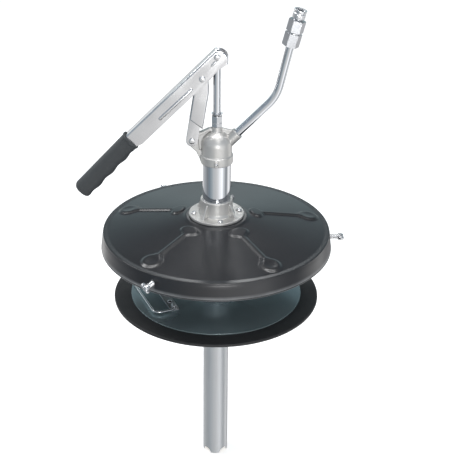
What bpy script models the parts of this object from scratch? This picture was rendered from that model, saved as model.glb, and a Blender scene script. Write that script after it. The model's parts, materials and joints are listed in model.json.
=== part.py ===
"""Hand lever transfer pump for gear oil and grease, on a round drum cover.

Metres, +Z up.  The origin is on the pump axis, in the plane where the underside
of the cover's edge rests on the drum's mouth.  The lever swings in the XZ plane.
"""
import math

import bmesh
import bpy
from mathutils import Matrix, Vector

for old in list(bpy.data.objects):
    bpy.data.objects.remove(old, do_unlink=True)

# ---------------------------------------------------------------- driving sizes
GAP = 0.0003                    # clearance that touching pieces keep
CLEARANCE = 0.0004              # radial play of a turning or sliding piece
ROUND = 24                      # sides of a small turned piece
WIDE_ROUND = 64                 # sides of a cover or follower disc

SHEET = 0.0015                  # drum cover sheet
COVER_TOP_RADIUS = 0.196
COVER_RIM_RADIUS = 0.200
COVER_RIM_DEPTH = 0.030
CROWN_RADIUS = 0.187            # where the cone meets the flat seat
CROWN_HEIGHT = 0.027            # top of the cover under the flange
HUB_FLAT_RADIUS = 0.052
RIB_COUNT = 5
RIB_START_ANGLE = 15.0
RIB_INNER = 0.068
RIB_OUTER = 0.168
RIB_RAISE = 0.0025

FLANGE_RADIUS = 0.0475
FLANGE_THICK = 0.0045
COLLAR_RADIUS = 0.0275
COLLAR_TOP = 0.060
BOLT_CIRCLE = 0.0395
BOLT_ANGLES = (10.0, 100.0, 190.0, 280.0)
CLAMP_ANGLE = 40.0
CLAMP_HEIGHT = 0.050

WING_ANGLES = (0.5, 117.0, 239.0)
WING_TWISTS = (0.0, 35.0, -45.0)
WING_HEIGHT = -0.0135

SLEEVE_RADIUS = 0.024
SLEEVE_BORE = 0.0229
SLEEVE_LOW = -0.075
TUBE_RADIUS = 0.0225
TUBE_BORE = 0.0205
TUBE_TOP = 0.137
TUBE_FOOT = -0.463

HEAD_LOW = 0.1275
HEAD_COLLAR_RADIUS = 0.0275
HEAD_SEAM = 0.1415
DOME_RADIUS = 0.0256
DOME_CENTRE = 0.160
NECK_RADIUS = 0.0088
NECK_TOP = 0.193
LUG = Vector((-0.0417, 0.0, 0.168))
LUG_RADIUS = 0.0095
LUG_HALF = 0.0049

ROD_RADIUS = 0.0065
ROD_PIN = Vector((0.0, 0.0, 0.317))
PIN_RADIUS = 0.004
LEVER_SLOPE = 45.5              # degrees, down towards the grip
LEVER_HALF = 0.0105
LEVER_SHEET = 0.002
LEVER_WEB = 0.010               # top of the web over the rod pin's line
LEVER_LOWER = -0.019
FULCRUM_ALONG = -0.0440
FULCRUM_DROP = -0.0091
GRIP_START = -0.207
GRIP_END = -0.342
TANG_END = -0.318               # end of the lever inside the grip
LINK_HALF = 0.008
LINK_SHEET = 0.0018

OUTLET_SLOPE = 46.1             # degrees above level
RISER_SLOPE = 75.5
OUTLET_ROOT = Vector((0.0, 0.0, 0.145))
OUTLET_MOUTH = 0.050            # along the outlet axis from its root
OUTLET_TUBE_RADIUS = 0.007
OUTLET_KNEE = 0.1421            # along the outlet axis, where the bend's sides would meet
OUTLET_BEND = 0.070
COUPLER_FOOT = Vector((0.1178, 0.0, 0.3349))
COUPLER_HEX = 0.0144
COUPLER_LENGTH = 0.0445

FOLLOWER_RADIUS = 0.180
FOLLOWER_TOP = -0.1215
PLATE_RADIUS = 0.150
PLATE_SHEET = 0.002
RING_THICK = 0.0057
HUB_RADIUS = 0.042
HUB_BORE = 0.030
BAIL_CENTRE = Vector((-0.0915, -0.0205, -0.1160))
BAIL_ANGLE = 112.5
BAIL_LENGTH = 0.124
BAIL_REACH = 0.039
BAIL_WIRE = 0.0022

VALVE_SEAT = -0.445             # start of the foot valve's seat cone
PISTON_LOW = -0.365
PISTON_TOP = -0.335


# ------------------------------------------------------------------- collections
def collection(name):
    made = bpy.data.collections.new(name)
    bpy.context.scene.collection.children.link(made)
    return made


PUMP = collection("gear_oil_pump")
TOOLS = collection("cutters")


def finish(name, colour, metallic, roughness):
    made = bpy.data.materials.new(name)
    made.use_nodes = True
    shader = made.node_tree.nodes["Principled BSDF"]
    shader.inputs["Base Color"].default_value = (*colour, 1.0)
    shader.inputs["Metallic"].default_value = metallic
    shader.inputs["Roughness"].default_value = roughness
    made.diffuse_color = (*colour, 1.0)
    return made


BLACK_PAINT = finish("black_paint", (0.035, 0.036, 0.040), 0.0, 0.35)
CHROME = finish("chrome", (0.80, 0.81, 0.83), 1.0, 0.08)
CAST = finish("cast_aluminium", (0.62, 0.62, 0.61), 1.0, 0.42)
ZINC = finish("zinc_plate", (0.70, 0.71, 0.73), 1.0, 0.25)
STEEL = finish("steel", (0.50, 0.51, 0.53), 1.0, 0.35)
BRASS = finish("brass", (0.72, 0.52, 0.22), 1.0, 0.3)
RUBBER = finish("rubber", (0.02, 0.02, 0.02), 0.0, 0.7)
GRIP = finish("grip_vinyl", (0.05, 0.05, 0.055), 0.0, 0.5)
SEAL = finish("nitrile", (0.03, 0.03, 0.03), 0.0, 0.6)


# --------------------------------------------------------------------- placement
def axis(name, location, turn=Matrix()):
    """An empty on a joint's axis; the pieces that move there are its children."""
    made = bpy.data.objects.new(name, None)
    made.matrix_world = Matrix.Translation(location) @ turn
    made.empty_display_size = 0.02
    PUMP.objects.link(made)
    return made


def turn_y(degrees):
    return Matrix.Rotation(math.radians(degrees), 4, "Y")


def turn_z(degrees):
    return Matrix.Rotation(math.radians(degrees), 4, "Z")


def along(direction):
    """Turns +Z into the given direction."""
    return Vector(direction).to_track_quat("Z", "Y").to_matrix().to_4x4()


def polar(radius, degrees, height=0.0):
    angle = math.radians(degrees)
    return Vector((radius * math.cos(angle), radius * math.sin(angle), height))


def keep(mesh, name, material=None, place=Matrix(), parent=None):
    """Adds the mesh as a named piece, or as a cutter when it has no material."""
    made = bpy.data.objects.new(name, mesh)
    (PUMP if material else TOOLS).objects.link(made)
    if parent:
        made.parent = parent
    made.matrix_local = place
    if material:
        mesh.materials.append(material)
        mesh.shade_smooth()
        mesh.set_sharp_from_angle(angle=math.radians(35.0))
    else:
        made.hide_render = True
        made.display_type = "WIRE"
    return made


def boolean(piece, tool, operation="DIFFERENCE"):
    step = piece.modifiers.new(operation.lower(), "BOOLEAN")
    step.operation = operation
    step.solver = "EXACT"
    step.object = tool


# ------------------------------------------------------------------ basic shapes
def mesh_from(shape, name):
    mesh = bpy.data.meshes.new(name)
    shape.to_mesh(mesh)
    shape.free()
    return mesh


def cylinder(radius, start, end, sides=24):
    """A cylinder along local Z from start to end, or a prism of few sides."""
    shape = bmesh.new()
    bmesh.ops.create_cone(shape, cap_ends=True, segments=sides, radius1=radius,
                          radius2=radius, depth=end - start,
                          matrix=Matrix.Translation((0.0, 0.0, (start + end) / 2)))
    return mesh_from(shape, "cylinder")


def box(low, high):
    low, high = Vector(low), Vector(high)
    shape = bmesh.new()
    bmesh.ops.create_cube(shape, size=1.0)
    for vertex in shape.verts:
        vertex.co = (low + high) / 2 + Vector(
            c * s for c, s in zip(vertex.co, high - low))
    return mesh_from(shape, "box")


def ball(radius):
    shape = bmesh.new()
    bmesh.ops.create_uvsphere(shape, u_segments=16, v_segments=10, radius=radius)
    return mesh_from(shape, "ball")


def turned(name, profile, material=None, place=Matrix(), parent=None, sides=ROUND):
    """A turned piece.  The profile runs down its outer side, then up its bore."""
    closed = all(radius > 0.0 for radius, _ in profile)
    mesh = bpy.data.meshes.new(name)
    edges = [(i, i + 1) for i in range(len(profile) - 1)]
    if closed:
        edges.append((len(profile) - 1, 0))
    mesh.from_pydata([(r, 0.0, z) for r, z in profile], edges, [])
    piece = keep(mesh, name, material, place, parent)
    screw = piece.modifiers.new("turn", "SCREW")
    screw.steps = sides
    screw.render_steps = sides
    screw.use_merge_vertices = True
    screw.merge_threshold = 0.00001
    screw.use_smooth_shade = bool(material)
    return piece


def curve_mesh(curve):
    """The curve's evaluated mesh with its caps welded on."""
    guide = bpy.data.objects.new("guide", curve)
    TOOLS.objects.link(guide)
    graph = bpy.context.evaluated_depsgraph_get()
    mesh = bpy.data.meshes.new_from_object(guide.evaluated_get(graph))
    bpy.data.objects.remove(guide, do_unlink=True)
    shape = bmesh.new()
    shape.from_mesh(mesh)
    bmesh.ops.remove_doubles(shape, verts=shape.verts, dist=0.00001)
    bmesh.ops.recalc_face_normals(shape, faces=shape.faces)
    return mesh_from(shape, curve.name)


def slab(outline, half, middle=0.0):
    """A flat plate in the XZ plane, 2 * half thick along Y about middle."""
    curve = bpy.data.curves.new("slab", "CURVE")
    curve.dimensions = "2D"
    curve.fill_mode = "BOTH"
    curve.extrude = half
    spline = curve.splines.new("POLY")
    spline.points.add(len(outline) - 1)
    for point, (x, z) in zip(spline.points, outline):
        point.co = (x, z, 0.0, 1.0)
    spline.use_cyclic_u = True
    mesh = curve_mesh(curve)
    stand = Matrix.Rotation(math.radians(90.0), 4, "X")
    mesh.transform(Matrix.Translation((0.0, middle, 0.0)) @ stand)
    return mesh


def wire(points, radius, detail=4):
    """A round bar through the points, with closed ends."""
    curve = bpy.data.curves.new("wire", "CURVE")
    curve.dimensions = "3D"
    curve.bevel_depth = radius
    curve.bevel_resolution = detail
    curve.use_fill_caps = True
    spline = curve.splines.new("POLY")
    spline.points.add(len(points) - 1)
    for point, place in zip(spline.points, points):
        point.co = (*place, 1.0)
    return curve_mesh(curve)


def arc(centre, radius, start, end, count):
    """Points on an arc, angles in degrees, as (x, z) pairs."""
    turns = [math.radians(start + (end - start) * i / count)
             for i in range(count + 1)]
    return [(centre[0] + radius * math.cos(t), centre[1] + radius * math.sin(t))
            for t in turns]


def fillet_path(corners, radius, count=6):
    """A path through the corners, each inner corner rounded to the radius."""
    path = [Vector(corners[0])]
    for before, corner, after in zip(corners, corners[1:], corners[2:]):
        corner = Vector(corner)
        back = (Vector(before) - corner).normalized()
        ahead = (Vector(after) - corner).normalized()
        half = back.angle(ahead) / 2
        reach = radius / math.tan(half)
        centre = corner + (back + ahead).normalized() * radius / math.sin(half)
        first = corner + back * reach - centre
        last = corner + ahead * reach - centre
        sweep = first.angle(last)
        for i in range(count + 1):
            t = i / count
            path.append(centre + (first * math.sin((1 - t) * sweep)
                                  + last * math.sin(t * sweep)) / math.sin(sweep))
    path.append(Vector(corners[-1]))
    return path


# ------------------------------------------------------------------- drum cover
def cover_pieces():
    top, under = SHEET, 0.0
    crown, crown_under = CROWN_HEIGHT, CROWN_HEIGHT - SHEET
    cover = turned("drum_cover", [
        (0.0265, crown), (HUB_FLAT_RADIUS, crown), (CROWN_RADIUS, top),
        (COVER_TOP_RADIUS - 0.0015, top), (COVER_TOP_RADIUS, 0.0),
        (COVER_RIM_RADIUS, -COVER_RIM_DEPTH), (COVER_RIM_RADIUS - SHEET, -COVER_RIM_DEPTH),
        (COVER_TOP_RADIUS - SHEET, under), (CROWN_RADIUS, under),
        (HUB_FLAT_RADIUS, crown_under), (0.0265, crown_under)],
        BLACK_PAINT, sides=WIDE_ROUND)

    slope = math.atan2(crown - top, CROWN_RADIUS - HUB_FLAT_RADIUS)
    pad, small_pad, half_bar = 0.0165, 0.0125, 0.005
    outline = (arc((RIB_OUTER, 0.0), pad, -162.0, 162.0, 14)
               + arc((RIB_INNER, 0.0), small_pad, 24.0, 336.0, 12))
    outline = [(x, max(-half_bar, min(half_bar, y)) if RIB_INNER + 0.0115 < x < 0.153 else y)
               for x, y in outline]
    for i in range(RIB_COUNT):
        rib = slab([(x - HUB_FLAT_RADIUS, y) for x, y in outline], (RIB_RAISE + 0.001) / 2)
        rib.transform(Matrix.Rotation(math.radians(-90.0), 4, "X"))
        rib.transform(Matrix.Translation((0.0, 0.0, (RIB_RAISE - 0.001) / 2)))
        place = (turn_z(RIB_START_ANGLE + i * 360.0 / RIB_COUNT)
                 @ Matrix.Translation((HUB_FLAT_RADIUS, 0.0, crown))
                 @ Matrix.Rotation(slope, 4, "Y"))
        boolean(cover, keep(rib, f"cover_rib_{i + 1}", place=place), "UNION")

    gasket_low = crown + GAP
    flange_low = gasket_low + 0.001 + GAP
    flange_top = flange_low + FLANGE_THICK
    gasket = turned("cover_gasket", [
        (0.046, gasket_low + 0.001), (0.046, gasket_low),
        (0.0275, gasket_low), (0.0275, gasket_low + 0.001)], RUBBER)
    flange = turned("cover_flange", [
        (COLLAR_RADIUS - 0.001, COLLAR_TOP), (COLLAR_RADIUS, COLLAR_TOP - 0.001),
        (COLLAR_RADIUS + 0.0005, flange_top + 0.004), (COLLAR_RADIUS + 0.003, flange_top),
        (FLANGE_RADIUS - 0.0008, flange_top), (FLANGE_RADIUS, flange_top - 0.0008),
        (FLANGE_RADIUS, flange_low), (SLEEVE_RADIUS + GAP, flange_low),
        (SLEEVE_RADIUS + GAP, COLLAR_TOP)], CAST)
    for angle in BOLT_ANGLES:
        web = slab([(0.026, flange_top - 0.001), (0.0405, flange_top - 0.001),
                    (0.0405, flange_top + 0.001), (0.0285, COLLAR_TOP - 0.004),
                    (0.026, COLLAR_TOP - 0.004)], 0.0016)
        web_tool = keep(web, f"flange_web_{angle:.0f}", place=turn_z(angle + 45.0))
        boolean(flange, web_tool, "UNION")

    ring_top = crown_under - GAP
    ring = turned("backing_ring", [
        (0.046, ring_top), (0.046, ring_top - 0.004),
        (0.0285, ring_top - 0.004), (0.0285, ring_top)], STEEL)

    for number, angle in enumerate(BOLT_ANGLES, 1):
        centre = polar(BOLT_CIRCLE, angle)
        bore = keep(cylinder(0.0028, 0.010, 0.045, 12), f"bolt_bore_{number}",
                    place=Matrix.Translation(centre))
        for piece in (cover, gasket, flange, ring):
            boolean(piece, bore)
        head = flange_top + GAP
        turned(f"flange_screw_{number}", [
            (0.0, head + 0.0030), (0.0036, head + 0.0028), (0.0050, head + 0.0012),
            (0.0050, head), (0.0024, head), (0.0024, 0.0165), (0.0, 0.0165)],
            ZINC, Matrix.Translation(centre), sides=16)

    outward = polar(1.0, CLAMP_ANGLE)
    place = Matrix.Translation((0.0, 0.0, CLAMP_HEIGHT)) @ along(outward)
    boolean(flange, keep(cylinder(0.0033, 0.020, 0.034, 16), "clamp_bore", place=place))
    clamp = keep(cylinder(0.0029, SLEEVE_RADIUS + GAP, 0.0350, 16), "clamp_screw", ZINC, place)
    boolean(clamp, keep(cylinder(0.0058, 0.0312, 0.0358, 6), "clamp_head", place=place), "UNION")

    for number, (angle, twist) in enumerate(zip(WING_ANGLES, WING_TWISTS), 1):
        place = (Matrix.Translation((0.0, 0.0, WING_HEIGHT)) @ along(polar(1.0, angle)))
        rim_bore = keep(cylinder(0.0046, 0.183, 0.206, 16), f"rim_bore_{number}", place=place)
        boolean(cover, rim_bore)
        nut = keep(cylinder(0.0080, 0.1872, 0.1946, 6), f"rim_nut_{number}", ZINC, place)
        boolean(nut, rim_bore)
        wing_screw(number, place, twist)


def wing_screw(number, place, twist):
    """A cast wing screw: threaded shank, boss and two wings."""
    screw = turned(f"wing_screw_{number}", [
        (0.0, 0.2200), (0.0042, 0.2190), (0.0062, 0.2125), (0.0040, 0.2118),
        (0.0040, 0.1860), (0.0030, 0.1850), (0.0, 0.1850)],
        ZINC, place @ turn_z(twist), sides=16)
    for side in (1.0, -1.0):
        lobe = slab([(0.0030 * side, 0.2130)]
                    + [(x * side, z) for x, z in arc((0.0052, 0.2172), 0.0046, -75.0, 112.0, 7)]
                    + [(0.0030 * side, 0.2198)], 0.0021)
        tool = keep(lobe, f"wing_{number}_{'left' if side < 0 else 'right'}",
                    place=place @ turn_z(twist))
        boolean(screw, tool, "UNION")


# -------------------------------------------------------------- tubes and the head
def outlet_axis(distance):
    angle = math.radians(OUTLET_SLOPE)
    return OUTLET_ROOT + distance * Vector((math.cos(angle), 0.0, math.sin(angle)))


def tube_pieces(height):
    tube = turned("pump_tube", [
        (TUBE_RADIUS, TUBE_TOP), (TUBE_RADIUS, TUBE_FOOT),
        (TUBE_BORE, TUBE_FOOT), (TUBE_BORE, TUBE_TOP)], ZINC, parent=height)
    for number, angle in enumerate((45.0, 135.0), 1):
        arch = keep(cylinder(0.0090, -0.03, 0.03, 20), f"foot_arch_{number}",
                    place=Matrix.Translation((0.0, 0.0, TUBE_FOOT)) @ along(polar(1.0, angle)))
        boolean(tube, arch)
    turned("upper_sleeve", [
        (SLEEVE_RADIUS, HEAD_LOW - GAP), (SLEEVE_RADIUS, SLEEVE_LOW),
        (SLEEVE_BORE, SLEEVE_LOW), (SLEEVE_BORE, HEAD_LOW - GAP)], CHROME, parent=height)


def head_pieces(height):
    bore = ROD_RADIUS + CLEARANCE
    dome = arc((0.0, DOME_CENTRE), DOME_RADIUS, 69.0, 0.0, 7)
    inner = arc((0.0, DOME_CENTRE - 0.007), 0.0200, 0.0, 66.0, 6)
    head = turned("pump_head", [
        (NECK_RADIUS - 0.0008, NECK_TOP), (NECK_RADIUS, NECK_TOP - 0.001),
        (NECK_RADIUS, dome[0][1] + 0.0012)] + dome + [
        (DOME_RADIUS, HEAD_SEAM + 0.0010), (HEAD_COLLAR_RADIUS, HEAD_SEAM),
        (HEAD_COLLAR_RADIUS, HEAD_LOW + 0.001), (HEAD_COLLAR_RADIUS - 0.001, HEAD_LOW),
        (TUBE_RADIUS + GAP, HEAD_LOW), (TUBE_RADIUS + GAP, TUBE_TOP + 0.0022),
        (0.0200, TUBE_TOP + 0.0022)] + inner + [
        (bore, DOME_CENTRE + 0.0135), (bore, NECK_TOP)], CAST, parent=height)

    lug_x, lug_z = LUG.x, LUG.z
    bracket = slab(arc((lug_x, lug_z), LUG_RADIUS, 60.0, 235.0, 10) + [
        (-0.0345, 0.1470), (-0.0290, 0.1350), (-0.0270, 0.1290), (-0.0235, 0.1290),
        (-0.0235, 0.1580), (-0.0170, 0.1700), (-0.0075, 0.1760), (-0.0075, 0.1905),
        (-0.0130, 0.1895), (-0.0300, 0.1815)], LUG_HALF)
    boolean(head, keep(bracket, "lug_bracket"), "UNION")
    rib = slab([(0.0075, 0.1905), (0.0075, 0.1740), (0.0180, 0.1650),
                (0.0310, 0.1760), (0.0250, 0.1850)], 0.0030)
    boolean(head, keep(rib, "outlet_rib"), "UNION")
    outlet = Matrix.Translation(OUTLET_ROOT) @ turn_y(90.0 - OUTLET_SLOPE)
    boolean(head, keep(cylinder(0.0103, 0.022, OUTLET_MOUTH, 24), "outlet_boss", place=outlet),
            "UNION")
    boolean(head, keep(cylinder(OUTLET_TUBE_RADIUS + CLEARANCE, 0.012, 0.060, 24),
                       "outlet_bore", place=outlet))
    pad_low, pad_high = HEAD_LOW + 0.002, HEAD_SEAM - 0.002
    boolean(head, keep(box((-0.004, -0.0292, pad_low), (0.004, -0.0250, pad_high)),
                       "set_screw_pad"), "UNION")
    set_height = (pad_low + pad_high) / 2
    front = Matrix.Translation((0.0, 0.0, set_height)) @ along((0.0, -1.0, 0.0))
    boolean(head, keep(cylinder(0.0028, 0.020, 0.034, 16), "set_screw_bore", place=front))
    keep(cylinder(0.0024, TUBE_RADIUS + GAP, 0.0300, 16), "head_set_screw", ZINC, front,
         height)
    sideways = Matrix.Translation(LUG) @ along((0.0, 1.0, 0.0))
    boolean(head, keep(cylinder(PIN_RADIUS + CLEARANCE, -0.02, 0.02, 24), "lug_bore",
                       place=sideways))

    turned("tube_o_ring", [
        (0.0222, TUBE_TOP + 0.0018), (0.0222, TUBE_TOP + GAP),
        (0.0208, TUBE_TOP + GAP), (0.0208, TUBE_TOP + 0.0018)], SEAL, parent=height)
    gland_low, gland_top = NECK_TOP + GAP, 0.2125
    gland = keep(cylinder(0.0098, gland_low, gland_top, 6), "gland_nut", ZINC, parent=height)
    boolean(gland, keep(cylinder(bore, 0.18, 0.22, ROUND), "gland_rod_bore"))
    boolean(gland, keep(cylinder(0.0076, 0.18, 0.2065, ROUND), "gland_packing_bore"))
    turned("rod_packing", [
        (0.0073, 0.2062), (0.0073, gland_low), (bore, gland_low), (bore, 0.2062)],
        SEAL, parent=height)
    turned("rod_wiper", [
        (0.0098, 0.2165), (0.0090, gland_top + GAP), (bore, gland_top + GAP),
        (bore, 0.2165)], RUBBER, parent=height)


def outlet_pieces(height):
    riser = Vector((math.cos(math.radians(RISER_SLOPE)), 0.0,
                    math.sin(math.radians(RISER_SLOPE))))
    first = outlet_axis(0.030)
    last = COUPLER_FOOT + riser * 0.010
    path = fillet_path([first, outlet_axis(OUTLET_KNEE), last], OUTLET_BEND, 7)
    tube = keep(wire(path, OUTLET_TUBE_RADIUS, 4), "outlet_tube", CHROME, parent=height)
    outward = (path[0] - path[1]).normalized()
    bore_path = [path[0] + outward * 0.004] + path[1:-1] + [path[-1] + riser * 0.004]
    boolean(tube, keep(wire(bore_path, 0.0052, 3), "outlet_tube_bore"))

    coupler_axis = axis("coupler_axis", COUPLER_FOOT, turn_y(90.0 - RISER_SLOPE))
    coupler_axis.parent = height
    body = keep(cylinder(COUPLER_HEX, 0.0, COUPLER_LENGTH, 6), "coupler_body", ZINC,
                parent=coupler_axis)
    boolean(body, keep(cylinder(0.0080, 0.040, 0.060, 24), "coupler_spigot",
                       parent=coupler_axis), "UNION")
    groove = turned("coupler_groove", [
        (0.020, 0.0250), (0.020, 0.0220), (0.0118, 0.0220), (0.0118, 0.0250)],
        parent=coupler_axis)
    boolean(body, groove)
    boolean(body, keep(cylinder(OUTLET_TUBE_RADIUS + CLEARANCE, -0.002, 0.0105, 24),
                       "coupler_socket", parent=coupler_axis))
    boolean(body, keep(cylinder(0.0048, 0.005, 0.065, 24), "coupler_bore",
                       parent=coupler_axis))
    turned("lock_sleeve", [
        (0.0098, 0.0623), (0.0106, 0.0613), (0.0106, 0.0490), (0.0098, 0.0482),
        (0.0084, 0.0482), (0.0084, 0.0623)], ZINC, parent=coupler_axis, sides=24)


# ------------------------------------------------------------------ valves, piston
def ball_height(seat, seat_bore, radius):
    """Centre of a ball that rests on a 45 degree seat cone, clear of it by the gap."""
    touch = radius * math.sin(math.radians(45.0))
    return seat + (touch - seat_bore) + touch + GAP * math.sqrt(2.0)


def valve_pieces(height):
    seat_bore, chamber, inlet_ball = 0.0050, 0.0092, 0.0080
    low, top = VALVE_SEAT - 0.005, VALVE_SEAT + 0.024
    outer = TUBE_BORE - GAP
    body = turned("foot_valve_body", [
        (outer, top), (outer, low), (seat_bore, low), (seat_bore, VALVE_SEAT),
        (chamber, VALVE_SEAT + chamber - seat_bore), (chamber, top)], BRASS, parent=height)
    pin = Matrix.Translation((0.0, 0.0, VALVE_SEAT + 0.0208)) @ along((1.0, 0.0, 0.0))
    boolean(body, keep(cylinder(0.0019, -0.03, 0.03, 12), "stop_pin_bore", place=pin))
    keep(cylinder(0.0015, -0.0198, 0.0198, 12), "valve_stop_pin", STEEL, pin, height)
    centre = Vector((0.0, 0.0, ball_height(VALVE_SEAT, seat_bore, inlet_ball)))
    keep(ball(inlet_ball), "inlet_ball", STEEL, parent=axis("inlet_ball_axis", centre))


def rod_pieces(stroke):
    seat, seat_bore, chamber, discharge_ball = PISTON_LOW + 0.004, 0.0040, 0.0080, 0.0065
    land, groove = 0.0198, 0.0160
    outer = [(land, PISTON_TOP)]
    cups = ((PISTON_TOP - 0.0035, PISTON_TOP - 0.0115), (PISTON_LOW + 0.0115, PISTON_LOW + 0.0035))
    for high, low in cups:
        outer += [(land, high), (groove, high), (groove, low), (land, low)]
    piston = turned("piston", outer + [
        (land, PISTON_LOW), (seat_bore, PISTON_LOW), (seat_bore, seat),
        (chamber, seat + chamber - seat_bore), (chamber, -0.341), (0.0053, -0.341),
        (0.0053, PISTON_TOP)], BRASS, parent=stroke)
    for number, angle in enumerate((0.0, 90.0), 1):
        port = Matrix.Translation((0.0, 0.0, -0.3500)) @ along(polar(1.0, angle))
        boolean(piston, keep(cylinder(0.0012, -0.03, 0.03, 12), f"piston_port_{number}",
                             place=port))
    for name, (high, low) in zip(("upper", "lower"), cups):
        turned(f"piston_cup_{name}", [
            (TUBE_BORE - CLEARANCE, high - GAP), (land - 0.0003, low + GAP),
            (groove + GAP, low + GAP), (groove + GAP, high - GAP)], SEAL, parent=stroke)
    centre = Vector((0.0, 0.0, ball_height(seat, seat_bore, discharge_ball)))
    keep(ball(discharge_ball), "discharge_ball", STEEL, parent=axis("discharge_ball_axis", centre))

    keep(cylinder(0.0050, -0.3400, 0.0750, 20), "rod_extension", STEEL, parent=stroke)
    top = ROD_PIN.z
    rod = turned("piston_rod", arc((0.0, top), ROD_RADIUS + 0.0005, 90.0, 30.0, 4)[:-1]
                 + [(ROD_RADIUS, top + 0.0025), (ROD_RADIUS, 0.0610),
                    (ROD_RADIUS - 0.0006, 0.0600), (0.0053, 0.0600), (0.0053, 0.0755),
                    (0.0, 0.0755)], CHROME, parent=stroke)
    sideways = Matrix.Translation(ROD_PIN) @ along((0.0, 1.0, 0.0))
    boolean(rod, keep(cylinder(PIN_RADIUS + CLEARANCE, -0.02, 0.02, 24), "rod_eye",
                      place=sideways))


# ------------------------------------------------------------------- lever and link
def pivot_bore(piece, name, parent, x, z, radius=PIN_RADIUS + GAP):
    place = Matrix.Translation((x, 0.0, z)) @ along((0.0, 1.0, 0.0))
    boolean(piece, keep(cylinder(radius, -0.02, 0.02, 24), name, place=place, parent=parent))


def headed_pin(name, parent, x, z, head_at, end_at):
    """A pin along Y with its head at the negative end, in the parent's frame."""
    place = Matrix.Translation((x, 0.0, z)) @ along((0.0, -1.0, 0.0))
    return turned(name, [
        (0.0, -head_at + 0.0018), (0.0038, -head_at + 0.0017), (0.0052, -head_at + 0.0006),
        (0.0052, -head_at), (PIN_RADIUS, -head_at), (PIN_RADIUS, -end_at), (0.0, -end_at)],
        ZINC, place, parent, sides=24)


def snap_ring(name, parent, x, z, start):
    place = Matrix.Translation((x, 0.0, z)) @ along((0.0, 1.0, 0.0))
    turned(name, [(0.0062, start + 0.001), (0.0062, start),
                  (PIN_RADIUS + GAP, start), (PIN_RADIUS + GAP, start + 0.001)],
           STEEL, place, parent, sides=24)


def lever_pieces(swing):
    """The lever's frame: +X towards the rod end, +Z towards the web."""
    end = arc((-0.001, -0.006), 0.0150, -75.0, 40.0, 8)
    tang_top, tang_low = 0.0015, -0.0155
    outline = [(TANG_END, tang_low), (GRIP_START, LEVER_LOWER + 0.004),
               (GRIP_START + 0.010, LEVER_LOWER), (-0.034, LEVER_LOWER),
               (-0.016, -0.0165)] + end + [
               (0.0050, LEVER_WEB), (GRIP_START, LEVER_WEB), (TANG_END, tang_top)]
    lever = keep(slab(outline, LEVER_HALF), "lever", ZINC, parent=swing)
    inside = [(TANG_END - 0.010, -0.04), (0.030, -0.04), (0.030, LEVER_WEB - LEVER_SHEET),
              (GRIP_START, LEVER_WEB - LEVER_SHEET), (TANG_END, tang_top - LEVER_SHEET),
              (TANG_END - 0.010, tang_top - LEVER_SHEET)]
    boolean(lever, keep(slab(inside, LEVER_HALF - LEVER_SHEET), "lever_inside",
                        parent=swing))
    pivot_bore(lever, "lever_rod_bore", swing, 0.0, 0.0)
    pivot_bore(lever, "lever_fulcrum_bore", swing, FULCRUM_ALONG, FULCRUM_DROP)
    for side, name in ((-1.0, "front"), (1.0, "rear")):
        rib = wire([(-0.067, side * LEVER_HALF, -0.0095), (-0.150, side * LEVER_HALF, -0.0085)],
                   0.0020, 2)
        boolean(lever, keep(rib, f"lever_rib_{name}", parent=swing), "UNION")

    grip = keep(grip_mesh(), "lever_grip", GRIP, parent=swing)
    pocket = slab([(TANG_END - GAP, tang_low - GAP), (GRIP_START, LEVER_LOWER + 0.004 - GAP),
                   (GRIP_START + 0.020, LEVER_LOWER + 0.004 - GAP),
                   (GRIP_START + 0.020, LEVER_WEB + GAP), (GRIP_START, LEVER_WEB + GAP),
                   (TANG_END - GAP, tang_top + GAP)], LEVER_HALF + GAP)
    boolean(grip, keep(pocket, "grip_pocket", parent=swing))

    headed_pin("rod_pin", swing, 0.0, 0.0, -LEVER_HALF - GAP, 0.0135)
    snap_ring("rod_pin_clip", swing, 0.0, 0.0, LEVER_HALF + GAP)
    headed_pin("fulcrum_rivet_front", swing, FULCRUM_ALONG, FULCRUM_DROP,
               -LEVER_HALF - GAP, -LEVER_HALF + LEVER_SHEET)
    rear = headed_pin("fulcrum_rivet_rear", swing, FULCRUM_ALONG, FULCRUM_DROP,
                      -LEVER_HALF - GAP, -LEVER_HALF + LEVER_SHEET)
    rear.matrix_local = (Matrix.Translation((FULCRUM_ALONG, 0.0, FULCRUM_DROP))
                         @ along((0.0, 1.0, 0.0)))


def grip_mesh():
    """An oval grip with a lip at its mouth and four finger swells below."""
    shape = bmesh.new()
    rings, sides = 21, 16
    length = GRIP_START - GRIP_END
    loops = []
    for i in range(rings):
        t = i / (rings - 1)
        x = GRIP_START - t * length
        centre = -0.0028 - 0.0042 * t
        rise, half = 0.0158, 0.0142
        if i <= 1:
            rise, half = rise + 0.0012, half + 0.0012
        dome = max(0.0, (t - 0.90) / 0.10)
        shrink = math.sqrt(max(0.0, 1.0 - dome ** 2)) * 0.92 + 0.08
        swell = 0.0016 * math.cos(2.0 * math.pi * 4.0 * t) if t < 0.92 else 0.0
        loop = []
        for k in range(sides):
            angle = 2.0 * math.pi * k / sides
            down = max(0.0, -math.sin(angle)) ** 2
            z = centre + shrink * (rise * math.sin(angle) + swell * down * math.sin(angle))
            loop.append(shape.verts.new((x, shrink * half * math.cos(angle), z)))
        loops.append(loop)
    for a, b in zip(loops, loops[1:]):
        for k in range(sides):
            n = (k + 1) % sides
            shape.faces.new((a[k], a[n], b[n], b[k]))
    shape.faces.new(reversed(loops[0]))
    shape.faces.new(loops[-1])
    bmesh.ops.recalc_face_normals(shape, faces=shape.faces)
    return mesh_from(shape, "grip")


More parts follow.
